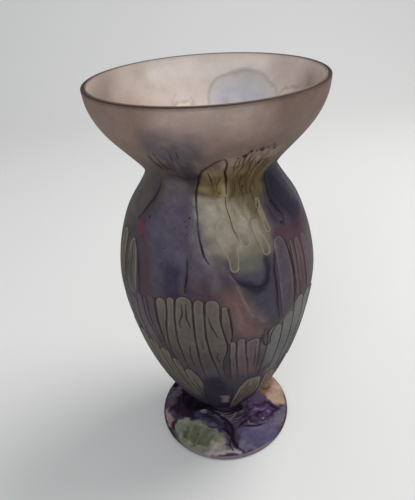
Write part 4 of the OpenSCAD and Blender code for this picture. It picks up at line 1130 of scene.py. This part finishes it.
# Threads of dark glass by half width in mm, each a list of [angle, height]
THREADS = {
    0.66: [
        [[7, 228], [3, 226.6], [-2.5, 222.6], [-6, 219.4], [-9.8, 211.6], [-12.6, 204], [-11.8, 197],
         [-10.4, 189]],
        [[-44.5, 209], [-46.8, 203], [-50, 197], [-54.4, 191.4], [-58, 186]],
        [[-54.4, 176.6], [-49.6, 169], [-47.6, 158], [-47, 146]],
        [[47, 210], [47.6, 204], [45.6, 199], [45, 191.6], [48, 187], [45.8, 181.6]],
        [[42, 196], [46.4, 192], [48.4, 189]],
        [[34, 173], [31.8, 164], [31.6, 153], [32, 142], [34, 129]],
        [[25, 127], [23.6, 121], [24.4, 115], [26.2, 111.8], [28.6, 113.4], [28.8, 119], [31, 124.6],
         [34.4, 127.4]],
        [[6.8, 228], [8.6, 224.4], [8.4, 218], [10.6, 209.4], [10.2, 203]],
        [[-32.2, 230], [-32, 225], [-31, 220.6]],
    ],
    0.54: [
        [[-10.4, 189], [-9.2, 184.6], [-8, 180], [-6.4, 176], [-4, 172]],
        [[40.4, 178.6], [42.8, 174.8], [44.4, 165], [45.2, 154], [45.2, 143], [45, 132]],
        [[-16, 174], [-16.2, 166], [-17, 160], [-17, 155.6]],
        [[17, 158.4], [21, 156.2], [25, 157], [28, 161]],
    ],
    0.4: [
        [[-28, 232], [-27.6, 225], [-26, 220]],
        [[-19.4, 231.6], [-19.2, 226]],
        [[-15.2, 234], [-15.8, 229]],
        [[-56, 172], [-55, 165], [-55.8, 158], [-55, 150]],
        [[-58.6, 168], [-59, 160], [-58.2, 152]],
        [[-62.6, 178], [-64, 166], [-63.4, 152]],
        [[-19.6, 149], [-19.4, 143], [-21, 137], [-21.2, 132]],
        [[-17, 149.6], [-17.2, 141], [-15.6, 133]],
        [[-6, 142], [-4.4, 134], [-1.4, 126]],
        [[-2, 113], [-3, 109], [-1.4, 105]],
        [[-17.6, 118], [-18.6, 108], [-17, 98]],
        [[-10.6, 124], [-10, 116]],
        [[19.4, 113], [19.6, 104], [20, 94]],
        [[15, 70], [13, 62], [11, 53], [8.6, 42]],
        [[18.6, 76], [17, 67], [14.6, 56], [11, 43]],
        [[20.4, 70], [18.6, 61], [16, 52]],
        [[23.6, 75], [22.6, 66], [20.6, 57], [16, 45]],
        [[27, 72], [26.6, 64], [24, 56]],
        [[25, 61], [22.6, 54], [18.6, 47]],
        [[36.4, 75], [36, 66], [35, 58]],
        [[40, 72], [40.4, 64], [39.6, 56]],
        [[-22, 82], [-19.6, 74], [-18.6, 66], [-18.4, 58]],
        [[-34.4, 92], [-31.6, 82], [-28.6, 72], [-26, 62]],
    ],
    0.5: [
        [[142, 228], [143, 216], [144, 204], [145, 194]],
        [[156, 226], [157, 214], [158, 203]],
        [[148, 230], [150, 220], [151, 208], [150, 198]],
        [[130, 222], [128, 210], [129, 198], [126, 186], [122, 172]],
        [[190, 206], [192, 190], [190, 174], [184, 166]],
        [[236, 204], [240, 190], [238, 176], [232, 168]],
        [[96, 206], [98, 192], [96, 176], [92, 160]],
        [[252, 180], [250, 164], [252, 148]],
        [[262, 176], [260, 160], [262, 142]],
    ],
}
# Finer brown streaks in the neck's olive glass, as in THREADS
STREAKS = {
    0.46: [
        [[-2.2, 219], [-0.4, 212], [1.4, 204]],
        [[19, 231], [17.8, 226], [18.2, 219], [16.4, 212.4]],
        [[28, 227], [28.6, 219.4], [26.4, 214.6]],
        [[24, 226], [23, 221.4], [25, 216], [24, 211]],
        [[33, 226], [33.6, 219], [31, 213.4]],
    ],
    0.34: [
        [[7, 215.6], [4.6, 211], [2.6, 204]],
        [[38, 219], [37.4, 212], [31.6, 210]],
        [[20, 215], [22, 207.6]],
        [[22, 229], [21, 224], [21.6, 219]],
        [[31, 229], [30.4, 224], [29.4, 218.6]],
        [[36.4, 226], [36, 221], [34, 216]],
        [[26.6, 230], [26, 226.4]],
        [[15.4, 226], [15, 220], [12.6, 214.6]],
        [[20.4, 229.6], [20.2, 224], [19, 218]],
        [[29.6, 227], [28, 220], [28.6, 213], [27, 207]],
        [[34.8, 222], [32.8, 215], [33, 208], [31.6, 204]],
        [[22.6, 214], [21.4, 208], [23, 202], [22.4, 198]],
        [[17.4, 209], [17, 203]],
        [[9, 202], [9.6, 195], [11, 188], [13, 182]],
        [[-0.6, 209], [0.6, 203]],
        [[13.4, 226], [13, 220.6], [14, 216]],
        [[26, 209], [27.4, 201]],
        [[30.6, 208], [30, 202], [31, 196], [30.4, 191]],
        [[33.8, 198], [32, 195], [28.4, 192.2]],
    ],
}
# Single dark drops, each [angle, height, half width]
DROPS = [[17, 228.6, 1.4], [19.6, 231, 1.0], [25.4, 231, 1.4], [33.4, 229.6, 1.1], [31.6, 232, 0.8],
         [22.4, 230.6, 0.7], [28.6, 231, 0.6], [13.8, 227.4, 0.6],
         [38, 219, 0.9], [-31.8, 224.6, 1.1], [-16.2, 193.2, 0.55], [-19.4, 191.2, 0.35],
         [-17.4, 189.4, 0.4], [-39, 197.6, 0.35], [-22, 195, 0.3], [-17, 186, 0.35], [-25, 188, 0.3],
         [-20, 183, 0.3], [-31, 170, 0.4], [-26, 166, 0.35], [-30, 160, 0.3], [-24, 172, 0.3],
         [24, 205.6, 0.7], [5, 204, 0.5], [-47, 190, 0.8], [44.6, 184, 1.0]]


def sprinkle(count, low, high, seed):
    """Seeded fine specks between two [angle, height] corners."""
    rng = np.random.default_rng(seed)
    return [[*rng.uniform(low, high), rng.uniform(0.18, 0.32)] for _ in range(count)]


def thread_run(line, widest):
    """A thread swells in the middle and thins out at its ends."""
    count = len(line)
    sizes = [widest * (0.55 + 0.45 * math.sin(math.pi * k / (count - 1))) for k in range(count)]
    return [[a, z, w] for (a, z), w in zip(line, sizes)]


def fan_threads(lines, ends):
    """Thin threads down the lines between a fan's fingers and along its two sides."""
    runs = []
    for k, line in enumerate(lines):
        top = min(e[0] for e in ends[max(k - 1, 0):k + 1]) - 1.6
        z = np.linspace(top, line[-1][1] + 2, 7)
        a = np.interp(-z, [-p[1] for p in line], [p[0] for p in line])
        runs.append([[angle, h, w] for angle, h, w in zip(a, z, np.linspace(0.6, 0.36, 7))])
    return runs


ROUGH = {"lift": 0.45, "lumps": 0.3, "ridge": 0, "ramp": 2, "wobble": 0.7}
FOOT_PIECES = {
    "foot_green_patch": {
        "slot": "green_glass",
        "runs": [[[-33, -20, 6], [-25, -27, 10], [-15, -32.6, 9], [-5, -36, 6]]],
        "look": {**ROUGH, "pale": [0.3, 0.4, 0.4], "cap": 6, "pale_tint": (160, 156, 144),
                 "pale_at": 1.2},
    },
    "foot_blue_patch": {
        "slot": "lavender_glass",
        "runs": [[[10, -30, 5], [18, -31, 9], [28, -28, 9], [36, -21, 6]]],
        "look": {**ROUGH, "lumps": 0.12, "lift": 0.25},
    },
    "foot_lavender_patch": {
        "slot": "lavender_glass",
        "runs": [[[-22, -11, 2], [-15, -16.5, 4], [-6, -22, 3.2]]],
        "look": {**ROUGH, "lumps": 0.5, "line": [0.4, 0.6, 0.5], "ink": (40, 30, 54)},
    },
    "foot_purple_frit": {
        "slot": "purple_glass",
        "runs": [
            [[16, -15, 1.6], [20, -12.4, 2.6], [24, -10, 2]],
            [[26, -7.4, 1.6], [31, -6.4, 2.6], [35, -3.6, 1.6]],
            [[27, -15, 1.4], [32, -13, 2.4], [36.6, -10, 1.6]],
            [[37, -8, 1.2], [41, -6, 2], [44, -3, 1.2]],
            [[19, -5, 1.4], [25, -1.8, 2], [31, -2, 1.2]],
            [[18, -19.6, 1], [25, -20.4, 1.5], [33, -17.4, 1]],
            [[35.4, -5.4, 0.9], [40, -5.6, 1.1], [44.6, -4.6, 0.7]],
            [[27.6, -18, 0.9], [30, -17.6, 1.1], [32, -16.4, 0.7]],
        ],
        "look": {**ROUGH, "tints": [(48, 31, 60), (92, 74, 104), (50, 33, 62)],
                 "keep": [0.5, 0.6, 0.5], "soft": 1, "lift": 0.5, "lumps": 0.6,
                 "line": [0.5, 0.7, 0.5], "ink": (28, 15, 34)},
    },
    "foot_amber_patch": {
        "slot": "amber_glass",
        "runs": [[[41, 4, 5], [40, 12, 6.5], [35, 21, 6], [28, 29, 4]]],
        "look": {**ROUGH, "lumps": 0.08, "lift": 0.2, "cap": 4},
    },
    "foot_tan_patch": {
        "slot": "tan_glass",
        "runs": [[[14, 3, 3], [17, 12, 5], [20, 22, 6.5], [19, 33, 6.5]]],
        "look": {**ROUGH, "tints": [(78, 68, 60), (90, 80, 68), (98, 86, 72)],
                 "keep": [0.6, 0.6, 0.6], "soft": 2, "line": [0.5, 0.5, 0.5], "ink": (44, 34, 34),
                 "line_w": 0.4},
    },
    "foot_indigo_patch": {
        "slot": "indigo_glass",
        "runs": [[[-16, -4, 3], [-23, -1, 6], [-30, 4, 6.5], [-35, 13, 5]]],
        "look": {**ROUGH, "cap": 5},
    },
    "foot_pink_patch": {
        "slot": "rose_glass",
        "runs": [[[-45, 3, 0.9], [-44.4, -7, 1.8], [-41.6, -14, 1.4]],
                 [[-14, -43.6, 1.2], [-4, -44.4, 1.9], [6, -44.4, 1.2]]],
        "look": {**ROUGH, "ramp": 1.2, "lift": 0.25},
    },
    # The crumpled ridges at the waist: dark violet glass, with painted highlight in the pale middle of each
    # ridge and painted shade in its dark contour, the valleys between
    "waist_ridges": {
        "slot": "lavender_glass",
        "runs": [
            [[-20, -7, 1.2], [-16.6, -9.2, 1.8], [-13, -10.4, 1.2]],
            [[-13, -11.6, 0.8], [-7, -14, 1.3], [2, -15, 1.5], [10, -12, 1.1], [16, -6, 0.7]],
            [[-10, -17.6, 0.7], [-1, -18.8, 1.2], [8, -17, 1.2], [17, -12.6, 0.7]],
            [[-2, -21, 0.5], [5, -20.6, 0.9], [12, -18.6, 0.6]],
            [[-11, -7, 0.8], [-6, -11, 1.1], [1, -12.4, 1.1], [8, -10.4, 0.8]],
            [[18, -3, 0.9], [19, 3, 1.4], [16, 9, 1.3], [11, 14, 0.9]],
            [[-13, 9, 0.9], [-5, 15, 1.5], [5, 15.5, 1]],
        ],
        "look": {**ROUGH, "tints": [(62, 50, 68), (118, 105, 115), (112, 98, 108),
                                    (66, 54, 70)],
                 "keep": [0.5, 0.85, 0.85, 0.5], "soft": 0.7, "lift": 0.8, "lumps": 0.5,
                 "line": [0.6, 0.7, 0.6], "ink": (28, 15, 32)},
    },
}

FOOT_VEINS = [
    [[-9.4, -10.4, 0.6], [-3.4, -16, 1.1], [2.4, -21.6, 1.4], [4.4, -27, 1.5], [4.2, -32, 1.5],
     [3.6, -35.4, 1.2], [5.8, -38.8, 0.9], [8.6, -42.4, 0.7], [12, -44.8, 0.4]],
    [[19, -16, 0.5], [16, -19, 1], [12, -21.6, 1.1], [9.4, -25, 0.5]],
    [[-4, -25, 0.5], [0, -28, 0.9], [4.4, -33, 0.8], [5, -37, 0.5]],
    [[-1, -32, 0.4], [2, -36, 0.7], [1.6, -41, 0.4]],
    [[0, -38, 0.5], [3, -42, 0.8], [4, -44.6, 0.4]],
    [[10.8, -23, 0.4], [16, -23.8, 0.8], [22, -23.8, 1], [28, -22.4, 0.8], [33.6, -19, 0.3]],
    [[-20, -13.4, 0.3], [-14, -14, 0.6], [-10, -17.6, 0.6], [-7, -19, 0.3]],
    [[-17, -17.4, 0.3], [-12.6, -18, 0.5], [-9, -22, 0.3]],
    [[15, -9, 0.5], [20, -9.4, 0.8], [24, -6, 0.5]],
    [[24, -12.4, 0.4], [29, -10.6, 0.7], [34, -7.4, 0.4]],
    [[36, -12.6, 0.4], [40, -9, 0.7], [43, -9.6, 0.4]],
    [[27.4, 22, 0.3], [33, 20.4, 0.6], [37, 21, 0.3]],
    [[31, 12, 0.3], [35, 12.6, 0.5], [38, 15, 0.3]],
    [[-38, -14.6, 0.4], [-40.6, -19, 0.9], [-39.6, -23, 0.4]],
    [[35, -4, 0.4], [39.6, -8, 0.7], [43.6, -8.6, 0.4]],
    [[-43, -2, 0.4], [-39, -2.6, 0.8], [-37.4, -6, 0.7], [-39.6, -8, 0.4]],
    [[-36, 4, 0.4], [-34.6, 9, 0.7], [-38, 12, 0.4]],
]


# ---------------------------------------------------------------- materials

class NodeMaterial:
    """A new material whose nodes are added one by one."""

    def __init__(self, name):
        self.material = bpy.data.materials.new(name)
        self.material.use_nodes = True
        self.nodes, self.links = self.material.node_tree.nodes, self.material.node_tree.links
        self.nodes.clear()

    def add(self, kind, numbers=None, **sources):
        """A new node: numbers go to its sockets by name, sources are linked to them."""
        node = self.nodes.new("ShaderNode" + kind)
        for socket, number in (numbers or {}).items():
            node.inputs[socket].default_value = number
        for socket, source in sources.items():
            self.links.new(source, node.inputs[socket.replace("_", " ")])
        return node

    def spread(self, source, low, high, start=0, stop=1):
        """The source's values from start to stop, spread from low to high."""
        numbers = {"From Min": start, "From Max": stop, "To Min": low, "To Max": high}
        return self.add("MapRange", numbers, Value=source).outputs["Result"]

    def times(self, one, other):
        node = self.add("Math")
        node.operation = "MULTIPLY"
        self.links.new(one, node.inputs[0])
        self.links.new(other, node.inputs[1])
        return node.outputs["Value"]

    def finish(self, surface):
        self.add("OutputMaterial", Surface=surface)
        return self.material


def satin_glass(name, rough, clear, grain, speckle, bump, specular=0.14):
    """Etched glass: painted colour, fine grain and speckle, soft gloss, some light through."""
    glass = NodeMaterial(name)
    paint = glass.add("Attribute")
    paint.attribute_name = "paint"
    where = glass.add("TexCoord").outputs["Object"]
    fine = glass.add("TexNoise", {"Scale": 700, "Detail": 4}, Vector=where).outputs["Fac"]
    cloud_numbers = {"Scale": 130, "Detail": 6, "Distortion": 0.6}
    cloud = glass.add("TexNoise", cloud_numbers, Vector=where).outputs["Fac"]
    dots = glass.add("TexVoronoi", {"Scale": 330}, Vector=where).outputs["Distance"]
    both = glass.times(glass.spread(fine, 1 - grain, 1 + grain),
                       glass.spread(cloud, 1 - grain, 1 + grain, 0.3, 0.7))
    strength = glass.times(both, glass.spread(dots, 1 - speckle, 1, 0.05, 0.16))
    tinted = glass.add("VectorMath")
    tinted.operation = "SCALE"
    glass.links.new(paint.outputs["Color"], tinted.inputs[0])
    glass.links.new(strength, tinted.inputs["Scale"])
    colour = tinted.outputs["Vector"]
    dents = glass.add("Bump", {"Strength": bump, "Distance": 0.0002}, Height=fine)
    shader = glass.add("BsdfPrincipled", {"IOR": 1.5, "Specular IOR Level": specular}, Base_Color=colour,
                       Roughness=glass.spread(cloud, rough - 0.06, rough + 0.06),
                       Normal=dents.outputs["Normal"])
    if not clear:
        return glass.finish(shader.outputs["BSDF"])
    glow = glass.add("BsdfTranslucent", Color=colour)
    blend = glass.add("MixShader", {"Fac": clear})
    glass.links.new(shader.outputs["BSDF"], blend.inputs[1])
    glass.links.new(glow.outputs["BSDF"], blend.inputs[2])
    return glass.finish(blend.outputs["Shader"])


def plain(name, colour, rough):
    """One flat colour."""
    paint = NodeMaterial(name)
    shader = paint.add("BsdfPrincipled", {"Base Color": (*colour, 1), "Roughness": rough})
    return paint.finish(shader.outputs["BSDF"])


# ---------------------------------------------------------------- building it

WALL_GLASS = satin_glass("wall_satin", 0.6, 0.12, 0.1, 0.06, 0.25)
CASING_GLASS = satin_glass("casing_satin", 0.55, 0.15, 0.05, 0.04, 0.2)
LAID_GLASS = satin_glass("laid_satin", 0.58, 0, 0.1, 0.12, 0.3)
THREAD_GLASS = satin_glass("thread_satin", 0.4, 0, 0.1, 0.0, 0.2)
FOOT_GLASS = satin_glass("foot_satin", 0.58, 0.05, 0.09, 0.1, 0.3, 0.09)

make_vessel(WALL_GLASS)
make_casing(CASING_GLASS)
make_foot(FOOT_GLASS)
make_wafer(FOOT_GLASS)
lay_table(FANS, LAID_GLASS, 100)
lay_table(PATCHES, LAID_GLASS, 200)

SPECKS = (DROPS + sprinkle(22, (-36, 158), (-13, 200), 61) + sprinkle(6, (16, 132), (30, 152), 62)
          + sprinkle(10, (184, 158), (232, 200), 63))
DROP_RUNS = [[[a, z + 0.8 * w, w * 0.8], [a, z, w], [a, z - w, w * 0.7]] for a, z, w in SPECKS]
STREAK_RUNS = [thread_run(line, width) for width, lines in STREAKS.items() for line in lines]
SLEEK = {"soft": 0.08, "ridge": 0, "lumps": 0}
STREAK_LOOK = {"tints": [(52, 38, 24), (60, 45, 28), (70, 55, 36)], "keep": [0.85, 0.9, 0.5],
               "lift": 0.1, "base": 0.24, "wobble": 0.3, **SLEEK}
laid_on("brown_streaks_glass", "dark_trails", STREAK_RUNS, STREAK_LOOK, THREAD_GLASS, 310)
THREAD_LOOK = {"tints": [(30, 20, 22), (28, 18, 22), (30, 20, 24)], "keep": [0.75, 1, 0.75],
               "lift": 0.14, "base": 0.34, **SLEEK}
THREAD_RUNS = [thread_run(line, width) for width, lines in THREADS.items() for line in lines]
FAN_RUNS = [run for fingers in FANS.values() for run in fan_threads(fingers["lines"], fingers["ends"])]
laid_on("dark_trails_glass", "dark_trails", THREAD_RUNS + FAN_RUNS + DROP_RUNS,
        THREAD_LOOK, THREAD_GLASS, 300)

lay_table(FOOT_PIECES, FOOT_GLASS, 400, on_foot=True)
GRAINS = [[[x, y + r, r * 0.7], [x, y, r], [x, y - r, r * 0.7]]
          for x, y, r in sprinkle(60, (13, -20), (44, -3), 71) + sprinkle(24, (-14, -22), (12, -9), 72)]
GRAIN_LOOK = {"tints": [(38, 24, 46)], "keep": [0.9], "soft": 0.1, "lift": 0.3, "ridge": 0, "base": 0.3,
              "lumps": 0}
laid_on("frit_grains_glass", "foot_purple_frit", GRAINS, GRAIN_LOOK, FOOT_GLASS, 460,
        on_foot=True)
VEIN_LOOK = {"tints": [(30, 20, 34)], "keep": [0.9], "soft": 0.3, "lift": 0.2, "ridge": 0,
             "base": 0.5, "wobble": 0.4, "lumps": 0.1}
laid_on("foot_veins_glass", "foot_veins", FOOT_VEINS, VEIN_LOOK, FOOT_GLASS, 450,
        on_foot=True)


# ---------------------------------------------------------------- floor, light and camera

def make_stage():
    """A pale table that curves up into a pale wall."""
    half, back, rise, turn = 2.2, 1.3, 2.2, 0.5
    outline = [(-2.0, 0.0), (back - turn, 0.0)]
    outline += [(back - turn + turn * math.sin(t), turn - turn * math.cos(t))
                for t in np.radians(np.linspace(5, 90, 18))]
    outline.append((back, rise))
    points = [(x, y, z) for y, z in outline for x in (-half, half)]
    faces = [(2 * i, 2 * i + 1, 2 * i + 3, 2 * i + 2) for i in range(len(outline) - 1)]
    mesh = bpy.data.meshes.new("stage_floor")
    mesh.from_pydata(points, [], faces)
    mesh.polygons.foreach_set("use_smooth", [True] * len(faces))
    mesh.materials.append(plain("stage_pale", (0.73, 0.73, 0.72), 0.9))
    floor = bpy.data.objects.new("stage_floor", mesh)
    bpy.context.scene.collection.objects.link(floor)


def area_light(name, spot, target, size, power, colour):
    light = bpy.data.lights.new(name, "AREA")
    light.shape = "DISK"
    light.size, light.energy, light.color = size, power, colour
    lamp = bpy.data.objects.new(name, light)
    lamp.location = spot
    lamp.rotation_euler = (Vector(target) - Vector(spot)).to_track_quat("-Z", "Y").to_euler()
    bpy.context.scene.collection.objects.link(lamp)


def make_light():
    """Soft light from above and the right, with a weak fill from the left."""
    area_light("key", (0.55, 0.25, 1.1), (0, 0, 0.1), 0.7, 9.0, (1, 0.985, 0.96))
    area_light("front_fill", (-0.5, -1.2, 1.0), (0, 0, 0.12), 0.9, 5.0, (0.97, 0.985, 1))
    world = bpy.data.worlds.new("studio")
    world.use_nodes = True
    world.node_tree.nodes["Background"].inputs["Color"].default_value = (0.95, 0.97, 1, 1)
    world.node_tree.nodes["Background"].inputs["Strength"].default_value = 0.55
    bpy.context.scene.world = world


# The camera: place in mm, then turns in degrees
CAMERA_SPOT = (0, -261.1, 306.5)
CAMERA_DOWN, CAMERA_LEFT, CAMERA_ROLL = 31.4, 1.2, 4.05
CAMERA_LENS = 34.28


def make_camera():
    """The camera looks down from the front, a little tilted."""
    down, turn, roll = (math.radians(v) for v in (CAMERA_DOWN, -CAMERA_LEFT, -CAMERA_ROLL))
    forward = Vector((math.sin(turn) * math.cos(down), math.cos(turn) * math.cos(down), -math.sin(down)))
    right = Vector((math.cos(turn), -math.sin(turn), 0))
    up = right.cross(forward)
    across = right * math.cos(roll) + up * math.sin(roll)
    above = up * math.cos(roll) - right * math.sin(roll)
    data = bpy.data.cameras.new("camera")
    data.sensor_width = 36
    data.lens = CAMERA_LENS
    data.clip_start = 0.02
    camera = bpy.data.objects.new("camera", data)
    turned_to = Matrix((across, above, -forward)).transposed()
    camera.matrix_world = Matrix.Translation(Vector(CAMERA_SPOT) * MM) @ turned_to.to_4x4()
    bpy.context.scene.collection.objects.link(camera)
    bpy.context.scene.camera = camera


make_stage()
make_light()
make_camera()
bpy.context.scene.view_settings.view_transform = "Standard"
